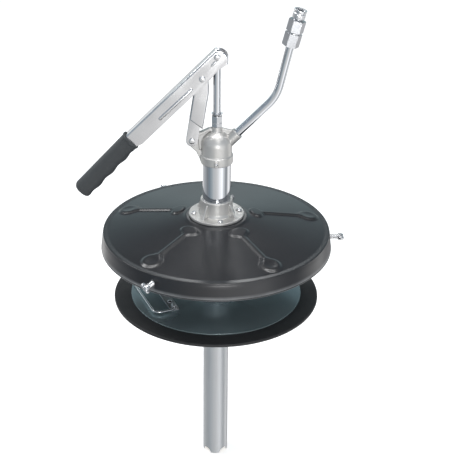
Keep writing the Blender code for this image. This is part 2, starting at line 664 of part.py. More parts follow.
def link_pieces(swing, length):
    """The link's frame: origin at the lug pin, +Z towards the fulcrum."""
    top = arc((0.0, length), 0.0105, 180.0, 0.0, 9)
    channel = slab([(-0.0105, 0.0368)] + top + [(0.0148, length - 0.024), (0.0148, 0.0232)],
                   LINK_HALF)
    link = keep(channel, "link", ZINC, parent=swing)
    ears = slab(arc((0.0, 0.0), 0.0100, 180.0, 360.0, 10) + [(0.0100, 0.044), (-0.0100, 0.044)],
                LUG_HALF + GAP + LINK_SHEET)
    boolean(link, keep(ears, "link_ears", parent=swing), "UNION")
    inside = slab([(-0.030, 0.0400), (-0.030, length + 0.03),
                   (0.0130, length + 0.03), (0.0130, 0.0400)], LINK_HALF - LINK_SHEET)
    boolean(link, keep(inside, "link_inside", parent=swing))
    throat = slab([(-0.030, -0.02), (-0.030, 0.0401), (0.0130, 0.0401), (0.0130, 0.0150),
                   (0.030, 0.0150), (0.030, -0.02)], LUG_HALF + GAP)
    boolean(link, keep(throat, "link_throat", parent=swing))
    pivot_bore(link, "link_lug_bore", swing, 0.0, 0.0)
    pivot_bore(link, "link_fulcrum_bore", swing, 0.0, length)
    across = Matrix.Translation((0.0, 0.0, length)) @ along((0.0, 1.0, 0.0))
    keep(cylinder(PIN_RADIUS, -LINK_HALF + 0.0002, LINK_HALF - 0.0002, 24), "fulcrum_bush",
         STEEL, across, swing)
    ear = LUG_HALF + GAP + LINK_SHEET + GAP
    headed_pin("lug_pin", swing, 0.0, 0.0, -ear, ear + 0.003)
    snap_ring("lug_pin_clip", swing, 0.0, 0.0, ear)


# ------------------------------------------------------------------------ follower
def follower_pieces(slide):
    plate_low = FOLLOWER_TOP - PLATE_SHEET
    ring_top = plate_low - GAP
    ring_low = ring_top - RING_THICK
    back_top = ring_low - GAP
    back_low = back_top - PLATE_SHEET
    plate = turned("follower_plate", [
        (HUB_BORE, FOLLOWER_TOP), (PLATE_RADIUS - 0.001, FOLLOWER_TOP),
        (PLATE_RADIUS, FOLLOWER_TOP - 0.001), (PLATE_RADIUS, plate_low),
        (HUB_BORE, plate_low)], ZINC, parent=slide, sides=WIDE_ROUND)
    turned("follower_ring", [
        (0.118, ring_top), (FOLLOWER_RADIUS - 0.001, ring_top),
        (FOLLOWER_RADIUS, ring_top - 0.0015), (FOLLOWER_RADIUS, ring_low + 0.001),
        (0.118, ring_low)], RUBBER, parent=slide, sides=WIDE_ROUND)
    back = turned("follower_back_plate", [
        (HUB_BORE, back_top), (0.140, back_top), (0.140, back_low), (HUB_BORE, back_low)],
        STEEL, parent=slide, sides=WIDE_ROUND)
    hub = turned("follower_hub", [
        (HUB_RADIUS, ring_top), (HUB_RADIUS, ring_low), (HUB_BORE, ring_low),
        (HUB_BORE, ring_top)], STEEL, parent=slide, sides=ROUND)
    turned("tube_wiper", [
        (0.0262, -0.1140), (HUB_BORE - GAP, -0.1190), (HUB_BORE - GAP, back_low - 0.004),
        (TUBE_RADIUS + CLEARANCE, back_low - 0.004), (TUBE_RADIUS + CLEARANCE, -0.1140)],
        RUBBER, parent=slide)
    for number in range(1, 5):
        centre = polar(0.036, 90.0 * number - 45.0)
        bore = keep(cylinder(0.0025, -0.15, -0.10, 12), f"hub_bore_{number}",
                    place=Matrix.Translation(centre))
        for piece in (plate, back, hub):
            boolean(piece, bore)
        head = FOLLOWER_TOP + GAP
        turned(f"hub_screw_{number}", [
            (0.0, head + 0.0024), (0.0040, head + 0.0018), (0.0044, head),
            (0.0021, head), (0.0021, back_low - 0.002), (0.0, back_low - 0.002)],
            ZINC, Matrix.Translation(centre), slide, sides=16)

    half, knuckle = BAIL_LENGTH / 2, 0.0040
    frame = Matrix.Translation(BAIL_CENTRE) @ turn_z(BAIL_ANGLE)
    under = FOLLOWER_TOP + GAP - BAIL_CENTRE.z
    strap = keep(box((-half + 0.004, -0.0080, under), (half - 0.004, 0.0080, under + 0.0022)),
                 "bail_strap", ZINC, frame, slide)
    wire_bore = keep(cylinder(BAIL_WIRE + CLEARANCE, -0.08, 0.08, 16), "bail_bore",
                     place=frame @ along((1.0, 0.0, 0.0)))
    for number, side in enumerate((-1.0, 1.0), 1):
        low = min(side * (half - 0.016), side * (half - 0.006))
        loop = keep(cylinder(knuckle, low, low + 0.010, 16), f"bail_knuckle_{number}",
                    place=frame @ along((1.0, 0.0, 0.0)))
        boolean(strap, loop, "UNION")
        saddle = box((low, -knuckle, under + 0.001), (low + 0.010, knuckle, 0.0))
        boolean(strap, keep(saddle, f"bail_saddle_{number}", place=frame), "UNION")
        spot = Matrix.Translation((side * 0.030, 0.0, 0.0))
        rivet_bore = keep(cylinder(0.0028, -0.02, 0.02, 12), f"rivet_bore_{number}",
                          place=frame @ spot)
        boolean(strap, rivet_bore)
        boolean(plate, rivet_bore)
        rivet_top = under + 0.0022 + GAP
        turned(f"strap_rivet_{number}", [
            (0.0, rivet_top + 0.0020), (0.0034, rivet_top + 0.0014), (0.0045, rivet_top),
            (0.0024, rivet_top), (0.0024, under - 0.0018), (0.0, under - 0.0018)],
            ZINC, frame @ spot, slide, sides=16)
    boolean(strap, wire_bore)


def bail_piece(fold):
    """The bail's frame: +X along its hinge, +Y outwards over the plate."""
    half = BAIL_LENGTH / 2
    path = fillet_path([
        (-half + 0.018, 0.0, 0.0), (-half, 0.0, 0.0), (-half, BAIL_REACH, 0.0),
        (half, BAIL_REACH, 0.0), (half, 0.0, 0.0), (half - 0.018, 0.0, 0.0)], 0.005, 4)
    keep(wire(path, BAIL_WIRE, 2), "bail_handle", CHROME, parent=fold)


# ------------------------------------------------------------------------ assembly
cover_pieces()
height_axis = axis("pump_height_axis", Vector((0.0, 0.0, 0.0)))
tube_pieces(height_axis)
head_pieces(height_axis)
outlet_pieces(height_axis)
valve_pieces(height_axis)
rod_pieces(axis("rod_stroke_axis", Vector((0.0, 0.0, 0.0))))
lever_frame = axis("lever_swing_axis", ROD_PIN, turn_y(-LEVER_SLOPE))
lever_pieces(lever_frame)
fulcrum = lever_frame.matrix_world @ Vector((FULCRUM_ALONG, 0.0, FULCRUM_DROP))
reach = fulcrum - LUG
lean = math.degrees(math.atan2(reach.x, reach.z))
link_pieces(axis("link_swing_axis", LUG, turn_y(lean)), reach.length)
follower_pieces(axis("follower_slide_axis", Vector((0.0, 0.0, 0.0))))
bail_piece(axis("bail_fold_axis", BAIL_CENTRE, turn_z(BAIL_ANGLE)))
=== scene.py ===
import json
import math

import bmesh
import bpy
import numpy as np
from mathutils import Matrix, Vector


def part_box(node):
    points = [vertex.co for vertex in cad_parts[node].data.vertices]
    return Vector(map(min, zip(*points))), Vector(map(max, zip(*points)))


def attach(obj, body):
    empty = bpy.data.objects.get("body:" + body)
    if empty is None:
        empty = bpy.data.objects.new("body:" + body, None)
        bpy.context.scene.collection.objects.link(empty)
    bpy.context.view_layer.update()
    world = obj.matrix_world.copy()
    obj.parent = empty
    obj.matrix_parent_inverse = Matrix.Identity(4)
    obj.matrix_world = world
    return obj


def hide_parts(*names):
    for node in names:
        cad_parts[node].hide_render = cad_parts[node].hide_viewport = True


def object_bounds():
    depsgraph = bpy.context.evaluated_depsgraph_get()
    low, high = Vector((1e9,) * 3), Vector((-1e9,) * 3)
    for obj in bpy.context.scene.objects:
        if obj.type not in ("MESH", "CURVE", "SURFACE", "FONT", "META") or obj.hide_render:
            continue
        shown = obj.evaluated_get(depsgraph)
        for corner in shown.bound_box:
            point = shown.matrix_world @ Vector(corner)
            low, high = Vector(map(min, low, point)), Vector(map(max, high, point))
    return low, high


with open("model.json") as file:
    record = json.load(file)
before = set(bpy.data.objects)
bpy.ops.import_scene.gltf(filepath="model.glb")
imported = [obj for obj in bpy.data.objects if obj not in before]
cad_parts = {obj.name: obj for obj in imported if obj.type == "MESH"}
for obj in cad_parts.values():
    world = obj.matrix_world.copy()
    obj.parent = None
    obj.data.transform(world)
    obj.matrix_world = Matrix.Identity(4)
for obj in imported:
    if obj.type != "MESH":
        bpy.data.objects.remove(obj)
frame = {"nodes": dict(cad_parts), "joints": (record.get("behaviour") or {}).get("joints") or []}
cad_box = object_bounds()
nodes = frame["nodes"]
joints = {joint["name"]: joint for joint in frame["joints"]}

# ------------------------------------------------------------------ camera
# A long lens on a stand about two metres away, looking 27 degrees down, with
# the pump tube upright in the frame.
VIEW_POINT = (0.0196, -2.0002, 1.0247)
VIEW_DOWN = math.radians(27.17)
VIEW_TURN = math.radians(-0.08)
VIEW_ROLL = math.radians(0.6)
FOCAL_LENGTH = 101.3


def put_in_scene(name, data):
    """A new object in the scene that shows the given data."""
    made = bpy.data.objects.new(name, data)
    bpy.context.scene.collection.objects.link(made)
    return made


lens = bpy.data.cameras.new("view")
camera = put_in_scene("view", lens)
camera.matrix_world = (Matrix.Translation(VIEW_POINT)
                       @ Matrix.Rotation(VIEW_TURN, 4, "Z")
                       @ Matrix.Rotation(math.radians(90.0) - VIEW_DOWN, 4, "X")
                       @ Matrix.Rotation(VIEW_ROLL, 4, "Z"))
lens.sensor_width = 36.0
lens.lens = FOCAL_LENGTH
lens.shift_x = 0.0016
lens.clip_end = 60.0
bpy.context.scene.camera = camera

# ------------------------------------------------------------------ studio
# A wide white floor under the foot of the tube, which the metals don't reflect.
# Tall cards, light and dark, stand all round under a dark upper room, and draw
# the upright bands in the bright metal.  Five soft lights hang round the pump.
bpy.context.scene.view_settings.view_transform = "Standard"

floor_height = cad_box[0][2] - 0.002
floor_mesh = bpy.data.meshes.new("studio_floor")
FLOOR_HALF = 12.0
floor_mesh.from_pydata([(-FLOOR_HALF, -FLOOR_HALF, 0.0), (FLOOR_HALF, -FLOOR_HALF, 0.0),
                        (FLOOR_HALF, FLOOR_HALF, 0.0), (-FLOOR_HALF, FLOOR_HALF, 0.0)],
                       [], [(0, 1, 2, 3)])
floor = put_in_scene("studio_floor", floor_mesh)
floor.location.z = floor_height
floor.visible_glossy = False

floor_finish = bpy.data.materials.new("studio_floor")
floor_finish.use_nodes = True
floor_shader = floor_finish.node_tree.nodes["Principled BSDF"]
floor_shader.inputs["Base Color"].default_value = (0.90, 0.90, 0.90, 1.0)
floor_shader.inputs["Roughness"].default_value = 0.9
floor_shader.inputs["Specular IOR Level"].default_value = 0.1
floor_shader.inputs["Emission Color"].default_value = (1.0, 1.0, 1.0, 1.0)
floor_shader.inputs["Emission Strength"].default_value = 0.60
floor.data.materials.append(floor_finish)

world = bpy.data.worlds.new("studio")
bpy.context.scene.world = world
world.use_nodes = True
sky = world.node_tree
sky.nodes.clear()
sky_out = sky.nodes.new("ShaderNodeOutputWorld")
sky_light = sky.nodes.new("ShaderNodeBackground")
sky_light.inputs["Strength"].default_value = 1.0
sky.links.new(sky_light.outputs[0], sky_out.inputs[0])
sky_place = sky.nodes.new("ShaderNodeTexCoord")
sky_split = sky.nodes.new("ShaderNodeSeparateXYZ")
sky.links.new(sky_place.outputs["Generated"], sky_split.inputs[0])


def sky_math(operation, first, second):
    node = sky.nodes.new("ShaderNodeMath")
    node.operation = operation
    for socket, value in zip(node.inputs, (first, second)):
        if isinstance(value, float):
            socket.default_value = value
        else:
            sky.links.new(value, socket)
    return node.outputs[0]


def sky_ramp(factor, stops):
    node = sky.nodes.new("ShaderNodeValToRGB")
    node.color_ramp.interpolation = "EASE"
    for i, (place, shade) in enumerate(stops):
        elements = node.color_ramp.elements
        stop = elements[i] if i < 2 else elements.new(place)
        stop.position = place
        stop.color = (*shade, 1.0)
    sky.links.new(factor, node.inputs[0])
    return node.outputs["Color"]


# Cards stand round the pump: 0.5 is the front, 0.25 the left, 0.75 the right.
around = sky_math("ADD", sky_math("DIVIDE", sky_math(
    "ARCTAN2", sky_split.outputs["X"], sky_math("MULTIPLY", sky_split.outputs["Y"], -1.0)),
    2.0 * math.pi), 0.5)
cards = sky_ramp(around, (
    (0.0, (0.24, 0.24, 0.25)), (1.0, (0.24, 0.24, 0.25)), (0.040, (0.45, 0.45, 0.46)),
    (0.080, (1.10, 1.10, 1.10)), (0.133, (0.62, 0.62, 0.63)),
    (0.219, (0.42, 0.44, 0.46)), (0.283, (0.25, 0.27, 0.29)), (0.339, (0.24, 0.29, 0.33)),
    (0.389, (0.38, 0.43, 0.46)), (0.436, (0.58, 0.60, 0.61)), (0.483, (0.67, 0.67, 0.67)),
    (0.528, (0.82, 0.82, 0.82)), (0.572, (1.12, 1.12, 1.13)), (0.622, (1.35, 1.36, 1.38)),
    (0.672, (0.66, 0.68, 0.70)), (0.728, (0.28, 0.30, 0.32)), (0.794, (0.95, 0.95, 0.95)),
    (0.835, (1.25, 1.25, 1.25)), (0.880, (0.45, 0.45, 0.46))))
back_wall = sky_ramp(sky_split.outputs["Z"], (
    (0.0, (0.58, 0.70, 0.72)), (1.0, (0.6, 0.6, 0.6)), (0.18, (0.47, 0.60, 0.63)),
    (0.45, (0.24, 0.30, 0.33)), (0.60, (0.15, 0.16, 0.18)), (0.80, (0.10, 0.10, 0.12)),
    (0.92, (0.30, 0.30, 0.31))))
room = sky_ramp(sky_split.outputs["Z"], (
    (0.0, (0.56, 0.60, 0.63)), (1.0, (0.60, 0.60, 0.60)), (0.35, (0.30, 0.35, 0.41)),
    (0.75, (0.28, 0.30, 0.32))))


def sky_blend(factor, low, high, first, second):
    """The first colour where the factor is low and the second where it is high."""
    step = sky.nodes.new("ShaderNodeMapRange")
    step.interpolation_type = "SMOOTHSTEP"
    step.inputs["From Min"].default_value = low
    step.inputs["From Max"].default_value = high
    sky.links.new(factor, step.inputs["Value"])
    mix = sky.nodes.new("ShaderNodeMix")
    mix.data_type = "RGBA"
    sky.links.new(step.outputs["Result"], mix.inputs["Factor"])
    sky.links.new(first, mix.inputs[6])
    sky.links.new(second, mix.inputs[7])
    return mix.outputs[2]


upper = sky_blend(sky_split.outputs["Y"], 0.30, 0.62, room, back_wall)
sky.links.new(sky_blend(sky_split.outputs["Z"], -0.02, 0.10, cards, upper),
              sky_light.inputs["Color"])


def soft_light(name, place, size, power, aim=(0.0, 0.0, 0.05)):
    lamp = bpy.data.lights.new(name, "AREA")
    lamp.shape = "RECTANGLE"
    lamp.size, lamp.size_y = size
    lamp.energy = power
    made = put_in_scene(name, lamp)
    made.location = place
    made.rotation_euler = (Vector(aim) - Vector(place)).to_track_quat("-Z", "Y").to_euler()


soft_light("left_light", (-1.65, 0.45, 1.75), (0.9, 0.9), 19.0)
soft_light("front_light", (0.40, -1.55, 1.90), (1.0, 1.0), 7.0)
soft_light("low_light", (0.25, -2.1, 0.15), (0.6, 0.35), 9.0, (0.0, 0.0, -0.1))
soft_light("top_strip", (0.0, -0.25, 2.3), (2.6, 0.30), 25.0)
soft_light("back_card", (0.0, 2.2, 1.75), (0.35, 0.9), 5.0)

# ------------------------------------------------------------------ drum cover
# The cover is pressed from 1.5 mm steel sheet: a shallow cone with five
# dog-bone stiffening ribs and a deep skirt with a rolled lower edge.  It is
# stove enamelled black, semi-gloss, with a little dust and worn paint edges;
# the worn edges are painted near-white, which also paints a highlight along
# the rim's top corner and the rib pads.


def mesh_piece(name, points, faces, sharp=None):
    """A mesh object from points and faces, shaded smooth or sharp past an angle."""
    mesh = bpy.data.meshes.new(name)
    mesh.from_pydata([tuple(p) for p in points], [], faces)
    mesh.validate()
    made = put_in_scene(name, mesh)
    shape = bmesh.new()
    shape.from_mesh(mesh)
    bmesh.ops.recalc_face_normals(shape, faces=shape.faces)
    shape.to_mesh(mesh)
    shape.free()
    shade(made, sharp)
    return made


def shade(piece, sharp=None):
    """Smooth shading, but for edges sharper than the angle if one is given."""
    piece.data.shade_smooth()
    if sharp:
        piece.data.set_sharp_from_angle(angle=math.radians(sharp))


def revolve(profile, steps, lift=None):
    """Points and faces of a closed ring profile turned about Z; lift adds a height field."""
    points, faces = [], []
    count = len(profile)
    for i in range(steps):
        angle = 2.0 * math.pi * i / steps
        for radius, height in profile:
            rise = lift(radius, angle, height) if lift else 0.0
            points.append((radius * math.cos(angle), radius * math.sin(angle), height + rise))
    for i in range(steps):
        n = (i + 1) % steps
        for k in range(count):
            m = (k + 1) % count
            faces.append((i * count + k, n * count + k, n * count + m, i * count + m))
    return points, faces


def soften(points, radius, count=3, closed=True):
    """The polygon with each corner replaced by a small round of about that radius."""
    result = []
    total = len(points)
    for i, corner in enumerate(points):
        if not closed and i in (0, total - 1):
            result.append(tuple(corner))
            continue
        here = Vector(corner)
        before = Vector(points[i - 1]) - here
        after = Vector(points[(i + 1) % total]) - here
        reach = min(radius, 0.45 * before.length, 0.45 * after.length)
        first = here + before.normalized() * reach
        last = here + after.normalized() * reach
        for k in range(count + 1):
            t = k / count
            result.append(tuple(first * (1 - t) ** 2 + here * 2 * t * (1 - t) + last * t ** 2))
    return result


def arc(centre, radius, angles):
    """Points of an arc in a plane, at angles given in degrees."""
    x, z = centre
    return [(x + radius * math.cos(math.radians(a)), z + radius * math.sin(math.radians(a)))
            for a in angles]


def smooth_step(value, low, high):
    """Rises smoothly from 0 to 1 between low and high."""
    t = min(1.0, max(0.0, (value - low) / (high - low)))
    return t * t * (3.0 - 2.0 * t)


low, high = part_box("drum_cover")
RIM = high.x
SKIRT_LOW = low.z
SHEET = 0.0015
HUB_FLAT = 0.052
CROWN_EDGE = 0.187
CROWN = 0.027
EDGE_TOP = 0.196
BORE = 0.0265
RIB_START = 15.0
RIB_TURN = 72.0
RIB_RAISE = 0.0030
RIB_HALF = 0.0042
OUTER_PAD, OUTER_PAD_RADIUS = 0.167, 0.0168
INNER_PAD, INNER_PAD_RADIUS = 0.071, 0.0158
CORNER = 0.0012
BEAD = 0.0016


def cone_height(radius):
    """Top surface of the pressing, with the cone's two bends eased."""
    slope = (CROWN - SHEET) / (CROWN_EDGE - HUB_FLAT)
    height = CROWN - slope * (radius - HUB_FLAT)
    blend = smooth_step(radius, HUB_FLAT - 0.008, HUB_FLAT + 0.008)
    height = CROWN * (1 - blend) + min(CROWN, height) * blend
    return max(SHEET, height)


def rib_lift(radius, angle):
    """Height of the pressed ribs: a bar between two flat-topped pads."""
    turn = math.radians(RIB_TURN)
    local = (angle - math.radians(RIB_START) + turn / 2) % turn - turn / 2
    x, y = radius * math.cos(local), radius * math.sin(local)
    outer = math.hypot(x - OUTER_PAD, y) - OUTER_PAD_RADIUS
    inner = math.hypot((x - INNER_PAD) / 0.70, y / 1.10) - INNER_PAD_RADIUS
    between = max(abs(y) - RIB_HALF, 0.070 - x, x - 0.168)
    nearest, second = sorted((outer, inner, between))[:2]
    nearest -= 0.003 * max(0.0, 1.0 - abs(second - nearest) / 0.006) ** 2
    dish = 0.0007 * (1.0 - smooth_step(outer, -0.014, -0.004))
    return RIB_RAISE * (1.0 - smooth_step(nearest, -0.0036, 0.0030)) - dish


def cover_lift(radius, angle, height):
    """Height of the ribs and of the boss under the flange, on the crown only."""
    if radius > EDGE_TOP - 0.006 or height < -0.003:
        return 0.0
    boss = 0.0012 * (1.0 - smooth_step(radius, 0.0535, 0.0575))
    return rib_lift(radius, angle) + boss


top_line = [(r, cone_height(r)) for r in np.linspace(BORE, EDGE_TOP - 0.0022, 118)]
round_edge = soften([(EDGE_TOP - 0.0022, SHEET), (EDGE_TOP, SHEET - 0.0002),
                     (EDGE_TOP + 0.0006, -0.0022), (EDGE_TOP + CORNER, -0.0045)],
                    0.0024, 6, closed=False)[1:]
skirt = [(EDGE_TOP + CORNER + (RIM - BEAD - EDGE_TOP) * t, -0.0045 + (SKIRT_LOW + 0.0075) * t)
         for t in (0.25, 0.5, 0.75, 1.0)]
rolled = [(RIM - BEAD + BEAD * math.cos(math.radians(a)),
           SKIRT_LOW + 0.0018 + 0.0018 * math.sin(math.radians(a))) for a in range(60, -181, -30)]
inside = [(RIM - 0.0031 - 0.0035 * t, SKIRT_LOW + 0.003 + (-SKIRT_LOW - 0.006) * t)
          for t in (0.1, 0.4, 0.7, 1.0)]
under_line = [(r, cone_height(r) - SHEET) for r in np.linspace(EDGE_TOP - 0.0035, BORE, 60)]
profile = top_line + round_edge + skirt + rolled + inside + under_line
drum_cover = mesh_piece("drum_cover_pressing", *revolve(profile, 480, cover_lift), sharp=40)


def rim_bore(piece, angle, height, radius, reach):
    """A hole square through the skirt at the given angle."""
    direction = Vector((math.cos(angle), math.sin(angle), 0.0))
    tool = peg("rim_bore_tool", direction * (reach - 0.012) + Vector((0, 0, height)),
               direction * (reach + 0.012) + Vector((0, 0, height)), radius, 24)
    combine(piece, tool)


def shape_piece(name, shape):
    """A mesh object from a finished bmesh."""
    mesh = bpy.data.meshes.new(name)
    shape.to_mesh(mesh)
    shape.free()
    return put_in_scene(name, mesh)


def peg(name, start, end, radius, sides=48, end_radius=None):
    """A round peg between two points."""
    start, end = Vector(start), Vector(end)
    shape = bmesh.new()
    bmesh.ops.create_cone(shape, cap_ends=True, segments=sides, radius1=radius,
                          radius2=end_radius or radius, depth=(end - start).length)
    turn = (end - start).to_track_quat("Z", "Y").to_matrix().to_4x4()
    shape.transform(Matrix.Translation((start + end) / 2) @ turn)
    return shape_piece(name, shape)


def bake(piece):
    """Replaces the piece's mesh by what its modifiers make."""
    graph = bpy.context.evaluated_depsgraph_get()
    mesh = bpy.data.meshes.new_from_object(piece.evaluated_get(graph))
    piece.modifiers.clear()
    piece.data = mesh
    return piece


def combine(piece, tool, operation="DIFFERENCE"):
    """Cuts the tool from the piece, or joins it on, and removes the tool."""
    step = piece.modifiers.new("combine", "BOOLEAN")
    step.operation = operation
    step.solver = "EXACT"
    step.object = tool
    bake(piece)
    bpy.data.objects.remove(tool, do_unlink=True)
    return piece


wing_axes = []
for number in (1, 2, 3):
    direction = Vector(joints[f"wing_screw_{number}_turn"]["axis"])
    wing_axes.append(math.atan2(direction.y, direction.x))
WING_HEIGHT = joints["wing_screw_1_turn"]["pos_m"][2]
for angle in wing_axes:
    rim_bore(drum_cover, angle, WING_HEIGHT, 0.0046, RIM - 0.002)
shade(drum_cover, 40)


def group(name, inputs, outputs):
    """A shader node group with named sockets; returns its tree, input and output nodes."""
    made = bpy.data.node_groups.new(name, "ShaderNodeTree")
    kinds = {"value": "NodeSocketFloat", "colour": "NodeSocketColor", "vector": "NodeSocketVector"}
    for label, kind, value in inputs:
        socket = made.interface.new_socket(label, in_out="INPUT", socket_type=kinds[kind])
        if value is not None:
            socket.default_value = value
    for label, kind in outputs:
        made.interface.new_socket(label, in_out="OUTPUT", socket_type=kinds[kind])
    return made, made.nodes.new("NodeGroupInput"), made.nodes.new("NodeGroupOutput")


def wire_up(tree, kind, links=(), **values):
    """A shader node with its properties, socket values and incoming links."""
    node = tree.nodes.new(kind)
    for label, value in values.items():
        if hasattr(node, label):
            setattr(node, label, value)
        else:
            node.inputs[label.replace("_", " ")].default_value = value
    for target, source in links:
        tree.links.new(source, node.inputs[target])
    return node


# Grain: fine noise for a bump, and slow patches for uneven gloss and tone.
grain, grain_in, grain_out = group(
    "surface_grain",
    [("Scale", "value", 400.0), ("Patch Scale", "value", 14.0), ("Depth", "value", 0.1),
     ("Rough Low", "value", 0.3), ("Rough High", "value", 0.5)],
    [("Normal", "vector"), ("Roughness", "value"), ("Patch", "value")])
place = wire_up(grain, "ShaderNodeTexCoord")
fine = wire_up(grain, "ShaderNodeTexNoise", [("Vector", place.outputs["Object"]),
               ("Scale", grain_in.outputs["Scale"])], Detail=3.0)
patch = wire_up(grain, "ShaderNodeTexNoise", [("Vector", place.outputs["Object"]),
                ("Scale", grain_in.outputs["Patch Scale"])], Detail=2.0)
bump = wire_up(grain, "ShaderNodeBump", [("Height", fine.outputs["Fac"]),
               ("Strength", grain_in.outputs["Depth"])], Distance=0.0006)
gloss = wire_up(grain, "ShaderNodeMapRange", [("Value", patch.outputs["Fac"]),
                ("To Min", grain_in.outputs["Rough Low"]),
                ("To Max", grain_in.outputs["Rough High"])], From_Min=0.25, From_Max=0.75)
grain.links.new(bump.outputs["Normal"], grain_out.inputs["Normal"])
grain.links.new(gloss.outputs["Result"], grain_out.inputs["Roughness"])
grain.links.new(patch.outputs["Fac"], grain_out.inputs["Patch"])

# Edge wear and painted shade: a wear mask along convex edges, broken up by
# noise, and a mask in hollows that paints shade where it falls.
wear_and_shade, wear_in, wear_and_shade_out = group("edge_wear_and_hollow_shade", [("Amount", "value", 0.5), ("Break Scale", "value", 90.0)],
                                [("Mask", "value"), ("Painted Shade", "value")])
shape_info = wire_up(wear_and_shade, "ShaderNodeNewGeometry")
wear_place = wire_up(wear_and_shade, "ShaderNodeTexCoord")
ragged = wire_up(wear_and_shade, "ShaderNodeTexNoise", [("Vector", wear_place.outputs["Object"]),
                 ("Scale", wear_in.outputs["Break Scale"])], Detail=6.0)
edge = wire_up(wear_and_shade, "ShaderNodeMapRange", [("Value", shape_info.outputs["Pointiness"])],
               From_Min=0.53, From_Max=0.62)
broken = wire_up(wear_and_shade, "ShaderNodeMath", [(0, edge.outputs["Result"]), (1, ragged.outputs["Fac"])],
                 operation="MULTIPLY")
worn = wire_up(wear_and_shade, "ShaderNodeMath", [(0, broken.outputs[0]), (1, wear_in.outputs["Amount"])],
               operation="MULTIPLY", use_clamp=True)
wear_and_shade.links.new(worn.outputs[0], wear_and_shade_out.inputs["Mask"])
# Painted shade in hollows: the mask is high where the surface is concave, where shade falls.
painted_shade_mask = wire_up(wear_and_shade, "ShaderNodeMapRange", [("Value", shape_info.outputs["Pointiness"])],
                      From_Min=0.49, From_Max=0.40)
wear_and_shade.links.new(painted_shade_mask.outputs["Result"], wear_and_shade_out.inputs["Painted Shade"])

# Dust: a pale film that settles on faces that look up.
dust, dust_in, dust_out = group(
    "settled_dust", [("Colour", "colour", (0.1, 0.1, 0.1, 1)), ("Dust", "colour", (0.5, 0.5, 0.48, 1)),
                     ("Amount", "value", 0.1)], [("Colour", "colour")])
dust_shape = wire_up(dust, "ShaderNodeNewGeometry")
dust_up = wire_up(dust, "ShaderNodeSeparateXYZ", [(0, dust_shape.outputs["Normal"])])
dust_place = wire_up(dust, "ShaderNodeTexCoord")
dust_noise = wire_up(dust, "ShaderNodeTexNoise", [("Vector", dust_place.outputs["Object"])],
                     Scale=26.0, Detail=8.0, Roughness=0.7)
dust_mask = wire_up(dust, "ShaderNodeMath", [(0, dust_up.outputs["Z"]), (1, dust_noise.outputs["Fac"])],
                    operation="MULTIPLY", use_clamp=True)
dust_level = wire_up(dust, "ShaderNodeMath", [(0, dust_mask.outputs[0]), (1, dust_in.outputs["Amount"])],
                     operation="MULTIPLY", use_clamp=True)
dust_mix = wire_up(dust, "ShaderNodeMix", data_type="RGBA")
dust.links.new(dust_level.outputs[0], dust_mix.inputs["Factor"])
dust.links.new(dust_in.outputs["Colour"], dust_mix.inputs[6])
dust.links.new(dust_in.outputs["Dust"], dust_mix.inputs[7])
dust.links.new(dust_mix.outputs[2], dust_out.inputs["Colour"])


def material(name, metallic=0.0):
    """A material with its node tree and its shader."""
    made = bpy.data.materials.new(name)
    made.use_nodes = True
    tree = made.node_tree
    shader = tree.nodes["Principled BSDF"]
    shader.inputs["Metallic"].default_value = metallic
    return made, tree, shader


def place_group(tree, source, **values):
    """The node group in a material, with its own values."""
    node = tree.nodes.new("ShaderNodeGroup")
    node.node_tree = source
    for label, value in values.items():
        node.inputs[label.replace("_", " ")].default_value = value
    return node


def tone(tree, factor, dark, light):
    """A colour that wanders between two near tones."""
    mix = tree.nodes.new("ShaderNodeMix")
    mix.data_type = "RGBA"
    mix.inputs[6].default_value = (*dark, 1.0)
    mix.inputs[7].default_value = (*light, 1.0)
    tree.links.new(factor, mix.inputs["Factor"])
    return mix.outputs[2]


def overlay(tree, mask, below, colour):
    """The colour from below, changed to the given one where the mask is high."""
    mix = tree.nodes.new("ShaderNodeMix")
    mix.data_type = "RGBA"
    mix.inputs[7].default_value = (*colour, 1.0)
    tree.links.new(mask, mix.inputs["Factor"])
    tree.links.new(below, mix.inputs[6])
    return mix.outputs[2]


def dress(tree, shader, colour, surface):
    """Gives the shader its colour, and the gloss and the bump of its grain."""
    tree.links.new(colour, shader.inputs["Base Color"])
    tree.links.new(surface.outputs["Roughness"], shader.inputs["Roughness"])
    tree.links.new(surface.outputs["Normal"], shader.inputs["Normal"])


enamel, tree, shader = material("black_stove_enamel")
peel = place_group(tree, grain, Scale=620.0, Patch_Scale=9.0, Depth=0.05,
                   Rough_Low=0.30, Rough_High=0.38)
# Worn paint edges painted near-white: partly bare metal, partly a painted highlight along the rim's top
# corner and the rib pads.
chips_and_highlight = place_group(tree, wear_and_shade, Amount=0.95, Break_Scale=25.0)
film = place_group(tree, dust, Dust=(0.42, 0.45, 0.46, 1.0), Amount=0.025)
base = tone(tree, peel.outputs["Patch"], (0.0058, 0.0062, 0.0085), (0.0082, 0.0088, 0.0115))
tree.links.new(base, film.inputs["Colour"])
bare_edge_and_highlight = overlay(tree, chips_and_highlight.outputs["Mask"], film.outputs["Colour"], (0.85, 0.87, 0.88))
dress(tree, shader, bare_edge_and_highlight, peel)
shader.inputs["Specular IOR Level"].default_value = 0.50
shader.inputs["Coat Weight"].default_value = 0.5
shader.inputs["Coat Roughness"].default_value = 0.20


def settle(piece, body, finish, slot, *replaced):
    """Gives the piece its finish and its body, and hides the solids it stands for. The slot is not used.
    """
    piece.data.materials.clear()
    piece.data.materials.append(finish)
    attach(piece, body)
    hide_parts(*replaced)
    return piece


settle(drum_cover, "cover", enamel, "painted_cover", "drum_cover")

# ------------------------------------------------------------------ cover flange
# The flange is a satin die casting: a disc with a guide collar and four
# webs.  It sits on a rubber gasket and is bolted through to a steel ring.


def lathe(name, profile, steps=96, radius=0.0004, sharp=40):
    """A turned piece whose profile corners are slightly rounded."""
    return mesh_piece(name, *revolve(soften(profile, radius), steps), sharp=sharp)


